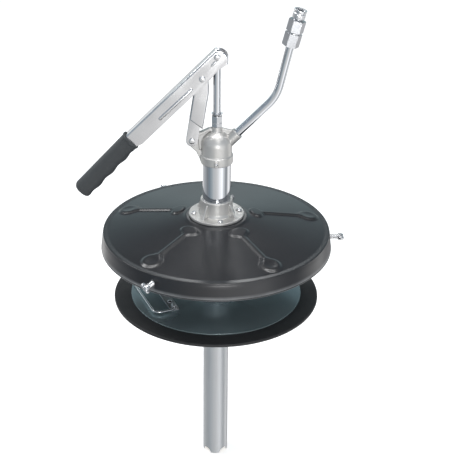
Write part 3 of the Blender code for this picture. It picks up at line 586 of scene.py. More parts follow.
def plate(name, outline, thick, edge=0.0003, place=Matrix(), rounding=2):
    """A flat plate from an outline in the XZ plane, centred on Y, with eased edges."""
    curve = bpy.data.curves.new(name, "CURVE")
    curve.dimensions = "2D"
    curve.fill_mode = "BOTH"
    curve.extrude = thick / 2 - edge
    curve.bevel_depth = edge
    curve.bevel_resolution = rounding
    curve.offset = -edge
    spline = curve.splines.new("POLY")
    spline.points.add(len(outline) - 1)
    for point, (x, z) in zip(spline.points, outline):
        point.co = (x, z, 0.0, 1.0)
    spline.use_cyclic_u = True
    return curve_piece(name, curve, place @ Matrix.Rotation(math.radians(90.0), 4, "X"))


def curve_piece(name, curve, place=Matrix()):
    """A welded mesh object made from a curve."""
    guide = put_in_scene(name + "_guide", curve)
    graph = bpy.context.evaluated_depsgraph_get()
    mesh = bpy.data.meshes.new_from_object(guide.evaluated_get(graph))
    bpy.data.objects.remove(guide, do_unlink=True)
    shape = bmesh.new()
    shape.from_mesh(mesh)
    bmesh.ops.remove_doubles(shape, verts=shape.verts, dist=0.00001)
    bmesh.ops.recalc_face_normals(shape, faces=shape.faces)
    shape.transform(place)
    shape.to_mesh(mesh)
    shape.free()
    made = put_in_scene(name, mesh)
    shade(made, 35)
    return made


def cast(piece, voxel, passes=6):
    """Rounds the piece's inner and outer corners the way a casting has them."""
    remesh = piece.modifiers.new("skin", "REMESH")
    remesh.mode = "VOXEL"
    remesh.voxel_size = voxel
    relax = piece.modifiers.new("relax", "SMOOTH")
    relax.factor = 0.5
    relax.iterations = passes
    bake(piece)
    shade(piece)
    return piece


def spot_of(node):
    """Where a CAD piece stands on the cover, seen from above."""
    low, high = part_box(node)
    return (low.x + high.x) / 2, (low.y + high.y) / 2


low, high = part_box("cover_flange")
flange_low, collar_top = low.z, high.z
flange_radius = high.x
flange_top = flange_low + 0.0045
sleeve_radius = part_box("upper_sleeve")[1].x
flange = lathe("flange_blank", [
    (0.0275, collar_top), (0.0279, flange_top + 0.005), (0.0300, flange_top),
    (flange_radius, flange_top), (flange_radius, flange_low), (0.0230, flange_low),
    (0.0230, collar_top)], 128, 0.0008)
for angle in (55.0, 145.0, 235.0, 325.0):
    web = plate("flange_web", [(0.026, flange_top - 0.001), (0.0408, flange_top - 0.001),
                               (0.0400, flange_top + 0.0010), (0.0290, collar_top - 0.005),
                               (0.026, collar_top - 0.005)], 0.0030, 0.0004,
                Matrix.Rotation(math.radians(angle), 4, "Z"))
    combine(flange, web, "UNION")
cast(flange, 0.00050, 2)
combine(flange, peg("collar_bore", (0, 0, flange_low - 0.01), (0, 0, collar_top + 0.01),
                    sleeve_radius + 0.0003, 96))
screw_spots = [spot_of(f"flange_screw_{number}") for number in (1, 2, 3, 4)]
for x, y in screw_spots:
    combine(flange, peg("screw_bore", (x, y, flange_low - 0.01), (x, y, flange_top + 0.004),
                        0.0029, 24))
clamp_low, clamp_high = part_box("clamp_screw")
clamp_middle = (clamp_low + clamp_high) / 2
CLAMP_ANGLE = math.radians(40.0)
clamp_axis = Vector((math.cos(CLAMP_ANGLE), math.sin(CLAMP_ANGLE), 0.0))
clamp_base = Vector((0.0, 0.0, clamp_middle.z))
combine(flange, peg("clamp_bore", clamp_base + clamp_axis * 0.020,
                    clamp_base + clamp_axis * 0.034, 0.0032, 24))
shade(flange, 32)

cast_alloy, tree, shader = material("satin_die_casting", 0.75)
sand = place_group(tree, grain, Scale=900.0, Patch_Scale=45.0, Depth=0.16,
                   Rough_Low=0.36, Rough_High=0.50)
rub_and_shade = place_group(tree, wear_and_shade, Amount=0.8, Break_Scale=60.0)
body_tone = tone(tree, sand.outputs["Patch"], (0.56, 0.55, 0.53), (0.70, 0.69, 0.67))
# Painted shade: hollows and inner corners of the casting are darkened in colour, standing in for the
# shade that falls there.
painted_shade = overlay(tree, rub_and_shade.outputs["Painted Shade"], body_tone, (0.10, 0.10, 0.10))
dress(tree, shader, overlay(tree, rub_and_shade.outputs["Mask"], painted_shade, (0.90, 0.90, 0.89)), sand)
flange.name = "flange_casting"
settle(flange, "cover", cast_alloy, "cast_aluminium", "cover_flange")

rubber, tree, shader = material("black_rubber")
tooth = place_group(tree, grain, Scale=1300.0, Patch_Scale=20.0, Depth=0.22,
                    Rough_Low=0.50, Rough_High=0.66)
film = place_group(tree, dust, Dust=(0.30, 0.30, 0.31, 1.0), Amount=0.08)
tree.links.new(tone(tree, tooth.outputs["Patch"], (0.010, 0.010, 0.011), (0.018, 0.018, 0.019)),
               film.inputs["Colour"])
dress(tree, shader, film.outputs["Colour"], tooth)

plain_steel, tree, shader = material("bright_steel", 1.0)
lay = place_group(tree, grain, Scale=500.0, Patch_Scale=30.0, Depth=0.05,
                  Rough_Low=0.24, Rough_High=0.38)
dress(tree, shader, tone(tree, lay.outputs["Patch"], (0.44, 0.45, 0.47), (0.58, 0.59, 0.61)), lay)


def ring_like(node, name, steps=96, radius=0.0003):
    """A turned ring with the outer size, bore and height of a CAD ring on the pump axis."""
    low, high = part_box(node)
    bore = min(math.hypot(v.co.x, v.co.y) for v in nodes[node].data.vertices)
    return lathe(name, [(high.x, high.z), (high.x, low.z), (bore, low.z), (bore, high.z)],
                 steps, radius)


settle(ring_like("cover_gasket", "gasket_ring", 128), "cover", rubber, "black_rubber",
       "cover_gasket")
settle(ring_like("backing_ring", "clamp_ring"), "cover", plain_steel, "steel", "backing_ring")

# ------------------------------------------------------------------ flange screws
# Four pan head screws, zinc plated, hold the flange; each head has a slot.


def headed_screw(name, x, y, head_low, head_radius, head_height, shank_low, shank, slot_angle):
    """A pan head screw standing on Z, with a cut slot across its head."""
    profile = [(0.0002, head_low + head_height)]
    for k in range(1, 7):
        t = math.radians(90.0 - 15.0 * k)
        profile.append((head_radius * math.cos(t) ** 0.8,
                        head_low + head_height * (0.35 + 0.65 * math.sin(t))))
    profile += [(head_radius, head_low), (shank, head_low), (shank, shank_low), (0.0002, shank_low)]
    points, faces = revolve(profile, 40)
    screw = mesh_piece(name, [(px + x, py + y, pz) for px, py, pz in points], faces, sharp=40)
    direction = Vector((math.cos(slot_angle), math.sin(slot_angle), 0.0)) * head_radius * 1.3
    centre = Vector((x, y, head_low + head_height))
    slot_tool = bar("slot_tool", centre - direction, centre + direction, 0.0011, 0.0022)
    combine(screw, slot_tool)
    shade(screw, 32)
    return screw


def bar(name, start, end, width, height):
    """A square-edged bar between two points."""
    start, end = Vector(start), Vector(end)
    shape = bmesh.new()
    bmesh.ops.create_cube(shape, size=1.0)
    shape.transform(Matrix.Diagonal((width, height, (end - start).length, 1.0)))
    turn = (end - start).to_track_quat("Z", "Y").to_matrix().to_4x4()
    shape.transform(Matrix.Translation((start + end) / 2) @ turn)
    return shape_piece(name, shape)


zinc, tree, shader = material("bright_zinc_plate", 1.0)
plating = place_group(tree, grain, Scale=700.0, Patch_Scale=24.0, Depth=0.05,
                      Rough_Low=0.17, Rough_High=0.30)
rub_and_shade = place_group(tree, wear_and_shade, Amount=0.7, Break_Scale=80.0)
blue_tone = tone(tree, plating.outputs["Patch"], (0.73, 0.73, 0.75), (0.83, 0.83, 0.83))
dress(tree, shader, overlay(tree, rub_and_shade.outputs["Mask"], blue_tone, (0.92, 0.92, 0.92)), plating)

for number, ((x, y), slot_angle) in enumerate(zip(screw_spots, (0.3, 1.4, 2.5, 0.9)), 1):
    low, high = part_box(f"flange_screw_{number}")
    head_low = flange_top + 0.0003
    screw = headed_screw(f"pan_screw_{number}", x, y, head_low, 0.0050, high.z - head_low,
                         low.z, 0.0024, slot_angle)
    settle(screw, "cover", zinc, "zinc_plate", f"flange_screw_{number}")


def hexagon(name, start, end, radius, chamfer=0.0008):
    """A hex bar between two points with its corners turned off at both ends."""
    start, end = Vector(start), Vector(end)
    piece = peg(name, start, end, radius, 6)
    axis = (end - start).normalized()
    length = (end - start).length
    turned = mesh_piece("chamfer_tool", *revolve(
        [(0.0002, length + 0.0001), (radius - chamfer, length + 0.0001),
         (radius + 0.0003, length - chamfer * 0.7), (radius + 0.0003, chamfer * 0.7),
         (radius - chamfer, -0.0001), (0.0002, -0.0001)], 64))
    turned.data.transform(Matrix.Translation(start)
                          @ axis.to_track_quat("Z", "Y").to_matrix().to_4x4())
    combine(piece, turned, "INTERSECT")
    shade(piece, 25)
    return piece


def threaded(name, start, end, radius, pitch=0.00125, sides=32):
    """A rod with a real helical thread between two points, pointed at both ends."""
    start, end = Vector(start), Vector(end)
    length = (end - start).length
    turns = length / pitch
    per_pitch = 6
    rows = int(turns * per_pitch) + 1
    depth = 0.55 * pitch
    points, faces = [], []
    for row in range(rows + 1):
        z = length * row / rows
        ends = min(z, length - z)
        taper = min(1.0, 0.78 + 0.22 * ends / pitch)
        for k in range(sides):
            angle = 2.0 * math.pi * k / sides
            phase = (z / pitch - k / sides) % 1.0
            radial = (radius - depth * abs(2.0 * phase - 1.0)) * taper
            points.append((radial * math.cos(angle), radial * math.sin(angle), z))
    for row in range(rows):
        for k in range(sides):
            n = (k + 1) % sides
            faces.append((row * sides + k, row * sides + n, (row + 1) * sides + n,
                          (row + 1) * sides + k))
    faces.append(tuple(reversed(range(sides))))
    faces.append(tuple(rows * sides + k for k in range(sides)))
    piece = mesh_piece(name, points, faces, sharp=60)
    turn = (end - start).to_track_quat("Z", "Y").to_matrix().to_4x4()
    piece.data.transform(Matrix.Translation(start) @ turn)
    return piece


clamp = threaded("height_clamp_screw", clamp_base + clamp_axis * 0.0243,
                 clamp_base + clamp_axis * 0.0322, 0.0029, 0.0010, 24)
combine(clamp, hexagon("clamp_head", clamp_base + clamp_axis * 0.0314,
                       clamp_base + clamp_axis * 0.0357, 0.0057), "UNION")
shade(clamp, 30)
settle(clamp, "cover", zinc, "zinc_plate", "clamp_screw")

# ------------------------------------------------------------------ wing screws
# Three cast wing screws clamp the cover to the drum.  Each runs in a hex nut
# welded inside the skirt; the thread and wings are zinc plated.
for number, (angle, twist) in enumerate(zip(wing_axes, (0.0, 35.0, -45.0)), 1):
    outward = Vector((math.cos(angle), math.sin(angle), 0.0))
    base = Vector((0.0, 0.0, WING_HEIGHT))
    stand = outward.to_track_quat("Z", "Y").to_matrix().to_4x4() @ Matrix.Rotation(
        math.radians(twist), 4, "Z")
    hub = mesh_piece(f"wing_hub_{number}", *revolve(soften([
        (0.0003, 0.2206), (0.0036, 0.2200), (0.0050, 0.2172), (0.0061, 0.2127),
        (0.0058, 0.2119), (0.0003, 0.2119)], 0.0006), 48))
    for side in (1.0, -1.0):
        lobe = [(0.0020 * side, 0.2128)]
        lobe += [(x * side, z) for x, z in arc((0.0052, 0.2172), 0.0046, range(-75, 116, 10))]
        lobe += [(0.0020 * side, 0.2196)]
        combine(hub, plate("wing_lobe", lobe, 0.0042, 0.0009), "UNION")
    cast(hub, 0.0004, 4)
    hub.data.transform(Matrix.Translation(base) @ stand)
    shank = threaded(f"wing_shank_{number}", base + outward * 0.1852, base + outward * 0.2135,
                     0.0040)
    combine(hub, shank, "UNION")
    shade(hub, 50)
    hub.name = f"wing_screw_{number}_cast"
    settle(hub, f"wing_screw_{number}", zinc, "zinc_plate", f"wing_screw_{number}")
    nut = hexagon(f"weld_nut_{number}", base + outward * 0.1873, base + outward * 0.1945, 0.0079)
    combine(nut, peg("nut_bore", base + outward * 0.18, base + outward * 0.20, 0.0043, 32))
    shade(nut, 25)
    settle(nut, "cover", zinc, "zinc_plate", f"rim_nut_{number}")

# ------------------------------------------------------------------ sleeve and tube
# The upper sleeve is a chromed steel tube that slides in the flange collar.
# The pump tube runs inside it down to the foot, drawn steel with a satin zinc
# coat, and its lower end has four arches that let the oil in.
chrome, tree, shader = material("polished_chrome", 1.0)
haze = place_group(tree, grain, Scale=300.0, Patch_Scale=18.0, Depth=0.012,
                   Rough_Low=0.035, Rough_High=0.10)
dress(tree, shader, tone(tree, haze.outputs["Patch"], (0.70, 0.72, 0.75), (0.80, 0.81, 0.83)), haze)

settle(ring_like("upper_sleeve", "chrome_sleeve", 160), "pump", chrome, "chrome", "upper_sleeve")

low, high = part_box("pump_tube")
tube_radius = high.x
TUBE_BORE = 0.0205
tube_rows = [(tube_radius, z) for z in np.linspace(high.z, low.z, 5)]
tube_rows += [(TUBE_BORE, z) for z in np.linspace(low.z, high.z, 5)]
tube = mesh_piece("drawn_tube", *revolve(tube_rows, 128))
for angle in (45.0, 135.0):
    direction = Vector((math.cos(math.radians(angle)), math.sin(math.radians(angle)), 0.0))
    combine(tube, peg("arch_tool", Vector((0, 0, low.z)) - direction * 0.03,
                      Vector((0, 0, low.z)) + direction * 0.03, 0.0090, 64))
shade(tube, 30)

drawn, tree, shader = material("satin_drawn_tube", 0.6)
skin = place_group(tree, grain, Scale=500.0, Patch_Scale=12.0, Depth=0.05,
                   Rough_Low=0.26, Rough_High=0.36)
spot = wire_up(tree, "ShaderNodeTexCoord")
stretch = wire_up(tree, "ShaderNodeMapping", [("Vector", spot.outputs["Object"])])
stretch.inputs["Scale"].default_value = (1.0, 1.0, 0.015)
lines = wire_up(tree, "ShaderNodeTexNoise", [("Vector", stretch.outputs[0])], Scale=900.0, Detail=2.0)
dress(tree, shader, tone(tree, lines.outputs["Fac"], (0.48, 0.49, 0.50), (0.58, 0.59, 0.60)), skin)
settle(tube, "pump", drawn, "galvanised_tube", "pump_tube")

# ------------------------------------------------------------------ pump head
# The head is one die casting: a collar over the tube, a domed body, a neck
# for the rod, a lug for the link, a boss for the outlet and two ribs.
OUTLET_SLOPE = math.radians(46.1)
outlet_axis = Vector((math.cos(OUTLET_SLOPE), 0.0, math.sin(OUTLET_SLOPE)))
outlet_root = Vector((0.0, 0.0, 0.145))
lug = Vector(joints["link_swing"]["pos_m"])
low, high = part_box("pump_head")
head_low, neck_top = low.z, high.z
SEAM = 0.1415
DOME_RADIUS, DOME_CENTRE = 0.0256, 0.160
ROD_BORE = 0.0069
EYE_BORE = 0.0044
dome = arc((0.0, DOME_CENTRE), DOME_RADIUS, range(69, -1, -3))
head = mesh_piece("head_blank", *revolve([
    (0.0003, neck_top), (0.0082, neck_top), (0.0088, neck_top - 0.0008),
    (0.0088, dome[0][1] + 0.0014)] + dome + [
    (DOME_RADIUS, SEAM + 0.0022), (0.0262, SEAM + 0.0012), (0.0275, SEAM + 0.0002),
    (0.0276, SEAM - 0.0012), (0.0275, head_low + 0.0008), (0.0266, head_low),
    (0.0003, head_low)], 128))
arm = arc((lug.x, lug.z), 0.0095, range(60, 236, 12))
arm += [(-0.0345, 0.1470), (-0.0290, 0.1350), (-0.0272, 0.1288), (-0.0200, 0.1288),
        (-0.0150, 0.1700), (-0.0065, 0.1760), (-0.0065, 0.1905), (-0.0130, 0.1897),
        (-0.0300, 0.1815)]
bracket = plate("lug_arm", arm, 0.0096, 0.0008)
pocket = soften([(-0.0320, 0.1752), (-0.0135, 0.1850), (-0.0090, 0.1850), (-0.0090, 0.1500),
                 (-0.0290, 0.1500), (-0.0310, 0.1600), (-0.0312, 0.1680)], 0.0012, 3)
for side in (-1.0, 1.0):
    combine(bracket, plate("arm_pocket", pocket, 0.0070, 0.0001,
                           Matrix.Translation((0.0, side * 0.0047, 0.0))))
combine(head, bracket, "UNION")
combine(head, plate("outlet_rib", [(0.0065, 0.1905), (0.0065, 0.1740), (0.0180, 0.1650),
                                   (0.0310, 0.1760), (0.0262, 0.1862)], 0.0060, 0.0012), "UNION")
combine(head, peg("outlet_boss", outlet_root + outlet_axis * 0.018,
                  outlet_root + outlet_axis * 0.0500, 0.0100, 64, 0.0104), "UNION")
pad_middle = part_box("head_set_screw")[0].z + 0.0024
combine(head, plate("screw_pad", soften([(-0.0034, pad_middle - 0.0060), (0.0034, pad_middle - 0.0060),
                                         (0.0034, pad_middle + 0.0060), (-0.0034, pad_middle + 0.0060)],
                                        0.0028, 5), 0.0060, 0.0005,
                    Matrix.Translation((0.0, -0.0262, 0.0))), "UNION")
cast(head, 0.00050, 3)
combine(head, peg("rod_bore", (0, 0, 0.15), (0, 0, 0.21), ROD_BORE, 64))
combine(head, peg("tube_socket", (0, 0, head_low - 0.01), (0, 0, 0.1392), tube_radius + 0.0003, 96))
combine(head, peg("outlet_bore", outlet_root + outlet_axis * 0.012,
                  outlet_root + outlet_axis * 0.060, 0.0074, 48))
combine(head, peg("lug_bore", lug - Vector((0, 0.02, 0)), lug + Vector((0, 0.02, 0)), EYE_BORE, 48))
combine(head, peg("set_bore", (0, -0.034, pad_middle), (0, -0.020, pad_middle), 0.0027, 32))
shade(head, 32)
head.name = "head_casting"
settle(head, "pump", cast_alloy, "cast_aluminium", "pump_head")

low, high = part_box("head_set_screw")
set_screw = threaded("grub_screw", (0, high.y, pad_middle), (0, low.y, pad_middle), 0.0024, 0.0008, 24)
combine(set_screw, hexagon("grub_key", (0, low.y - 0.001, pad_middle),
                           (0, low.y + 0.0016, pad_middle), 0.0014, 0.0001))
settle(set_screw, "pump", zinc, "zinc_plate", "head_set_screw")

# ------------------------------------------------------------------ gland and rod
# A hex gland nut squeezes a rubber packing round the piston rod, and a flared
# wiper on top keeps dirt out.  The rod is hard chromed bar with a cross hole.
low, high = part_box("gland_nut")
gland = hexagon("gland_hex", (0, 0, low.z), (0, 0, high.z), 0.0098, 0.0012)
combine(gland, mesh_piece("gland_neck_tool", *revolve(
    soften([(0.0130, low.z + 0.0075), (0.0130, low.z + 0.0060), (0.0080, low.z + 0.0060),
            (0.0080, low.z + 0.0075)], 0.0003), 64)))
combine(gland, peg("gland_bore", (0, 0, low.z - 0.01), (0, 0, high.z + 0.01), ROD_BORE, 64))
combine(gland, peg("gland_seat", (0, 0, low.z - 0.01), (0, 0, 0.2065), 0.0076, 64))
shade(gland, 25)
settle(gland, "pump", zinc, "zinc_plate", "gland_nut")
settle(ring_like("rod_packing", "packing_ring"), "pump", rubber, "nitrile", "rod_packing")
low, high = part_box("rod_wiper")
wiper = lathe("wiper_cup", [(high.x, high.z), (high.x - 0.0012, low.z), (ROD_BORE, low.z),
                            (ROD_BORE, low.z + 0.0012), (high.x - 0.0014, high.z)], 96, 0.0003)
settle(wiper, "pump", zinc, "black_rubber", "rod_wiper")

rod_pin = Vector(joints["lever_swing"]["pos_m"])
low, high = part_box("piston_rod")
rod_radius = high.x
end_round = [(rod_radius * math.cos(math.radians(a)),
              rod_pin.z + 0.001 + (high.z - rod_pin.z - 0.001) * math.sin(math.radians(a)))
             for a in range(84, -1, -12)]
rod = mesh_piece("chrome_rod", *revolve(
    [(0.0002, high.z)] + end_round + [(rod_radius, 0.20), (rod_radius, low.z + 0.0006),
                                      (rod_radius - 0.0006, low.z), (0.0053, low.z),
                                      (0.0053, 0.0755), (0.0002, 0.0755)], 96), sharp=40)
combine(rod, peg("rod_eye", rod_pin - Vector((0, 0.02, 0)), rod_pin + Vector((0, 0.02, 0)),
                 EYE_BORE, 48))
shade(rod, 30)
settle(rod, "rod", chrome, "chrome", "piston_rod")

# ------------------------------------------------------------------ outlet tube
# Chromed steel tube of 14 mm, bent once, from the boss up into the coupler.
RISER_SLOPE = math.radians(75.5)
riser = Vector((math.cos(RISER_SLOPE), 0.0, math.sin(RISER_SLOPE)))
coupler_foot = Vector((0.1178, 0.0, 0.3349))
OUTLET_RADIUS, OUTLET_BORE, OUTLET_BEND = 0.0070, 0.0055, 0.070


def bent_tube(name, corners, radius, bend, sides_detail=6, steps=14):
    """A round bar or tube through the corners, with each bend rounded."""
    path = [Vector(corners[0])]
    for before, corner, after in zip(corners, corners[1:], corners[2:]):
        corner = Vector(corner)
        back = (Vector(before) - corner).normalized()
        ahead = (Vector(after) - corner).normalized()
        half = back.angle(ahead) / 2
        centre = corner + (back + ahead).normalized() * bend / math.sin(half)
        first = corner + back * bend / math.tan(half) - centre
        last = corner + ahead * bend / math.tan(half) - centre
        sweep = first.angle(last)
        for i in range(steps + 1):
            t = i / steps
            path.append(centre + (first * math.sin((1 - t) * sweep)
                                  + last * math.sin(t * sweep)) / math.sin(sweep))
    path.append(Vector(corners[-1]))
    curve = bpy.data.curves.new(name, "CURVE")
    curve.dimensions = "3D"
    curve.bevel_depth = radius
    curve.bevel_resolution = sides_detail
    curve.use_fill_caps = True
    spline = curve.splines.new("POLY")
    spline.points.add(len(path) - 1)
    for point, spot in zip(spline.points, path):
        point.co = (*spot, 1.0)
    return curve_piece(name, curve)


knee = outlet_root + outlet_axis * 0.1421
tube_start = outlet_root + outlet_axis * 0.0302
tube_end = coupler_foot + riser * 0.0098
outlet = bent_tube("outlet_pipe", [tube_start, knee, tube_end], OUTLET_RADIUS, OUTLET_BEND, 10)
combine(outlet, bent_tube("outlet_pipe_bore", [tube_start - outlet_axis * 0.004, knee,
                                               tube_end + riser * 0.004],
                          OUTLET_BORE, OUTLET_BEND, 6))
shade(outlet, 40)
settle(outlet, "pump", chrome, "chrome", "outlet_tube")

# ------------------------------------------------------------------ coupler
# A long hex coupler with a turned groove, and a knurled lock sleeve that
# slides back to take the filler nipple.
coupler_place = Matrix.Translation(coupler_foot) @ riser.to_track_quat("Z", "Y").to_matrix().to_4x4()
coupler = hexagon("coupler_blank", (0, 0, 0), (0, 0, 0.0445), 0.0144, 0.0014)
combine(coupler, mesh_piece("coupler_groove", *revolve(soften(
    [(0.020, 0.0250), (0.020, 0.0220), (0.0118, 0.0220), (0.0118, 0.0250)], 0.0004), 64)))
combine(coupler, peg("coupler_spigot", (0, 0, 0.040), (0, 0, 0.060), 0.0080, 64), "UNION")
combine(coupler, peg("coupler_socket", (0, 0, -0.002), (0, 0, 0.0105), 0.0074, 64))
combine(coupler, peg("coupler_bore", (0, 0, 0.005), (0, 0, 0.065), 0.0048, 48))
shade(coupler, 25)
coupler.data.transform(coupler_place)
coupler.name = "hex_coupler"
settle(coupler, "pump", plain_steel, "zinc_plate", "coupler_body")

KNURLS = 36
SLEEVE_OUTSIDE, SLEEVE_INSIDE, SLEEVE_GROOVE = 0.0106, 0.0084, 0.0098
SLEEVE_LOW, SLEEVE_TOP = 0.0482, 0.0621
sleeve_profile = soften([(SLEEVE_OUTSIDE, SLEEVE_TOP), (SLEEVE_OUTSIDE, 0.0590),
                         (SLEEVE_GROOVE, 0.0580), (SLEEVE_GROOVE, 0.0566),
                         (SLEEVE_OUTSIDE, 0.0556), (SLEEVE_OUTSIDE, SLEEVE_LOW),
                         (SLEEVE_INSIDE, SLEEVE_LOW), (SLEEVE_INSIDE, SLEEVE_TOP)], 0.0005)
points = []
steps = KNURLS * 6
for i in range(steps):
    angle = 2.0 * math.pi * i / steps
    notch = 0.00035 * max(0.0, math.cos(KNURLS * angle))
    for radius, height in sleeve_profile:
        cut = notch if radius > 0.0101 and 0.0488 < height < 0.0555 else 0.0
        points.append(((radius - cut) * math.cos(angle), (radius - cut) * math.sin(angle), height))
count = len(sleeve_profile)
faces = [(i * count + k, (i + 1) % steps * count + k, (i + 1) % steps * count + (k + 1) % count,
          i * count + (k + 1) % count) for i in range(steps) for k in range(count)]
lock = mesh_piece("knurled_sleeve", points, faces, sharp=40)
lock.data.transform(coupler_place)
settle(lock, "lock_sleeve", zinc, "zinc_plate", "lock_sleeve")

# ------------------------------------------------------------------ lever
# The lever is folded from 2 mm steel into a channel, open below, with two
# pressed stiffening beads on each side.  It is zinc plated.
LEVER_SLOPE = math.radians(45.5)
lever_place = Matrix.Translation(rod_pin) @ Matrix.Rotation(-LEVER_SLOPE, 4, "Y")
LEVER_WIDTH = 0.021
LEVER_SHEET = 0.002
WEB_TOP, LIP = 0.010, -0.019
FULCRUM = (-0.0440, -0.0091)
GRIP_MOUTH, TANG_END = -0.207, -0.318
PIVOT_BORE = 0.0043
nose = arc((-0.001, -0.006), 0.0150, range(-75, 41, 5))
outer = plate("lever_blank", [(TANG_END, -0.030), (0.0030, -0.030)] + nose[2:] + [
    (0.0050, WEB_TOP), (GRIP_MOUTH, WEB_TOP), (TANG_END, 0.0015)], LEVER_WIDTH, 0.0036, rounding=5)
below = plate("lip_tool", [(TANG_END - 0.01, -0.0155), (GRIP_MOUTH, LIP + 0.004),
                           (GRIP_MOUTH + 0.010, LIP), (-0.034, LIP), (-0.016, -0.0165),
                           (0.0029, -0.0205), (0.012, -0.024), (0.030, -0.045),
                           (TANG_END - 0.01, -0.045)], 0.05, 0.0001)
hollow = plate("channel_tool", [(TANG_END - 0.010, -0.04), (0.030, -0.04),
                                (0.030, WEB_TOP - LEVER_SHEET), (GRIP_MOUTH, WEB_TOP - LEVER_SHEET),
                                (TANG_END, -0.0005), (TANG_END - 0.010, -0.0005)],
               LEVER_WIDTH - 2 * LEVER_SHEET, 0.0009, rounding=3)
lever = combine(outer, below)
combine(lever, hollow)


def bead(name, start, end, side, radius, proud):
    """A pressed bead on a side plate: a round bar that stands a little proud."""
    y = side * (LEVER_WIDTH / 2 + proud - radius)
    length = (Vector((end[0], 0, end[1])) - Vector((start[0], 0, start[1]))).length
    shape = bmesh.new()
    bmesh.ops.create_uvsphere(shape, u_segments=24, v_segments=16, radius=radius)
    for vertex in shape.verts:
        vertex.co.z += math.copysign(length / 2, vertex.co.z)
    heading = Vector((end[0] - start[0], 0.0, end[1] - start[1]))
    middle = Vector(((start[0] + end[0]) / 2, y, (start[1] + end[1]) / 2))
    shape.transform(Matrix.Translation(middle) @ heading.to_track_quat("Z", "Y").to_matrix().to_4x4())
    return shape_piece(name, shape)


for side in (-1.0, 1.0):
    combine(lever, bead("long_bead", (-0.070, -0.0095), (-0.143, -0.0085), side, 0.0032, 0.0017),
            "UNION")
    combine(lever, bead("short_bead", (-0.0070, -0.0036), (-0.0155, -0.0036), side, 0.0022, 0.0011),
            "UNION")
for x, z in ((0.0, 0.0), FULCRUM):
    combine(lever, peg("pivot_tool", (x, -0.02, z), (x, 0.02, z), PIVOT_BORE, 48))
shade(lever, 30)
lever.data.transform(lever_place)
lever.name = "channel_lever"
settle(lever, "lever", zinc, "zinc_plate", "lever")

# ------------------------------------------------------------------ grip
# A soft vinyl grip, dip moulded in charcoal, with a rolled lip at its mouth and
# four finger swells below.  Its skin has a fine leathery grain.
GRIP_END = -0.3395
GRIP_HALF_WIDTH, GRIP_HALF_HEIGHT = 0.0140, 0.0156
GRIP_SQUARENESS = 0.72
rings, sides = 150, 72
points, faces = [], []
for i in range(rings):
    t = i / (rings - 1)
    x = GRIP_MOUTH + (GRIP_END - GRIP_MOUTH) * t
    centre = -0.0028 - 0.0042 * t
    lip = 0.0012 * (1.0 - smooth_step(t, 0.020, 0.045)) * smooth_step(t, -0.012, 0.014)
    dome = max(0.0, (t - 0.93) / 0.07)
    shrink = math.sqrt(max(0.0, 1.0 - dome ** 2.4)) * 0.97 + 0.03
    fade = smooth_step(t, 0.06, 0.14) * (1.0 - smooth_step(t, 0.86, 0.93))
    swell = 0.0012 * math.cos(2.0 * math.pi * (4.0 * t + 0.05)) * fade
    for k in range(sides):
        angle = 2.0 * math.pi * k / sides
        up = math.copysign(abs(math.sin(angle)) ** GRIP_SQUARENESS, math.sin(angle))
        across = math.copysign(abs(math.cos(angle)) ** GRIP_SQUARENESS, math.cos(angle))
        down = max(0.0, -up) ** 1.5
        rise = (GRIP_HALF_HEIGHT + lip) * shrink * up + swell * down * up
        points.append((x, (GRIP_HALF_WIDTH + lip) * shrink * across, centre + rise))
for i in range(rings - 1):
    for k in range(sides):
        n = (k + 1) % sides
        faces.append((i * sides + k, i * sides + n, (i + 1) * sides + n, (i + 1) * sides + k))
faces.append(tuple(range(sides)))
faces.append(tuple((rings - 1) * sides + k for k in reversed(range(sides))))
grip = mesh_piece("vinyl_grip", points, faces, sharp=50)
combine(grip, plate("grip_pocket", [(TANG_END - 0.0003, -0.0158), (GRIP_MOUTH, LIP + 0.0037),
                                    (GRIP_MOUTH + 0.02, LIP + 0.0037),
                                    (GRIP_MOUTH + 0.02, WEB_TOP + 0.0003),
                                    (GRIP_MOUTH, WEB_TOP + 0.0003), (TANG_END - 0.0003, 0.0018)],
                    LEVER_WIDTH + 0.0006, 0.0001))
shade(grip, 40)

vinyl, tree, shader = material("charcoal_vinyl")
hide = place_group(tree, grain, Scale=1500.0, Patch_Scale=30.0, Depth=0.30,
                   Rough_Low=0.52, Rough_High=0.62)
film = place_group(tree, dust, Dust=(0.35, 0.35, 0.36, 1.0), Amount=0.05)
tree.links.new(tone(tree, hide.outputs["Patch"], (0.040, 0.044, 0.047), (0.052, 0.057, 0.060)),
               film.inputs["Colour"])
dress(tree, shader, film.outputs["Colour"], hide)
shader.inputs["Specular IOR Level"].default_value = 0.35
grip.data.transform(lever_place)
settle(grip, "lever", vinyl, "grip_vinyl", "lever_grip")

# ------------------------------------------------------------------ pivot pins
# Headed pins with domed heads join lever, rod, link and lug; spring clips
# hold the two long pins at the back.


def pin(name, place, head, tail, radius=0.0040, head_radius=0.0052, head_height=0.0018):
    """A pin along local Y with a domed head on its negative side."""
    profile = [(0.0002, -head + head_height)]
    for k in range(1, 7):
        t = math.radians(90.0 - 15.0 * k)
        profile.append((head_radius * math.cos(t) ** 0.85,
                        -head + head_height * (0.25 + 0.75 * math.sin(t))))
    profile += [(head_radius, -head), (radius, -head), (radius, -tail + 0.0005),
                (radius - 0.0005, -tail), (0.0002, -tail)]
    made = mesh_piece(name, *revolve(profile, 48), sharp=40)
    made.data.transform(place @ Matrix.Rotation(math.radians(90.0), 4, "X"))
    return made


def clip(name, place, start):
    """A spring ring with a gap, lying square to local Y."""
    ring = lathe(name, [(0.0062, start + 0.001), (0.0062, start), (0.0043, start),
                        (0.0043, start + 0.001)], 64, 0.00015)
    combine(ring, bar("clip_gap", (0.0, -0.003, start + 0.0005), (0.0, -0.009, start + 0.0005),
                      0.0030, 0.0060))
    shade(ring, 35)
    ring.data.transform(place @ Matrix.Rotation(math.radians(-90.0), 4, "X"))
    return ring


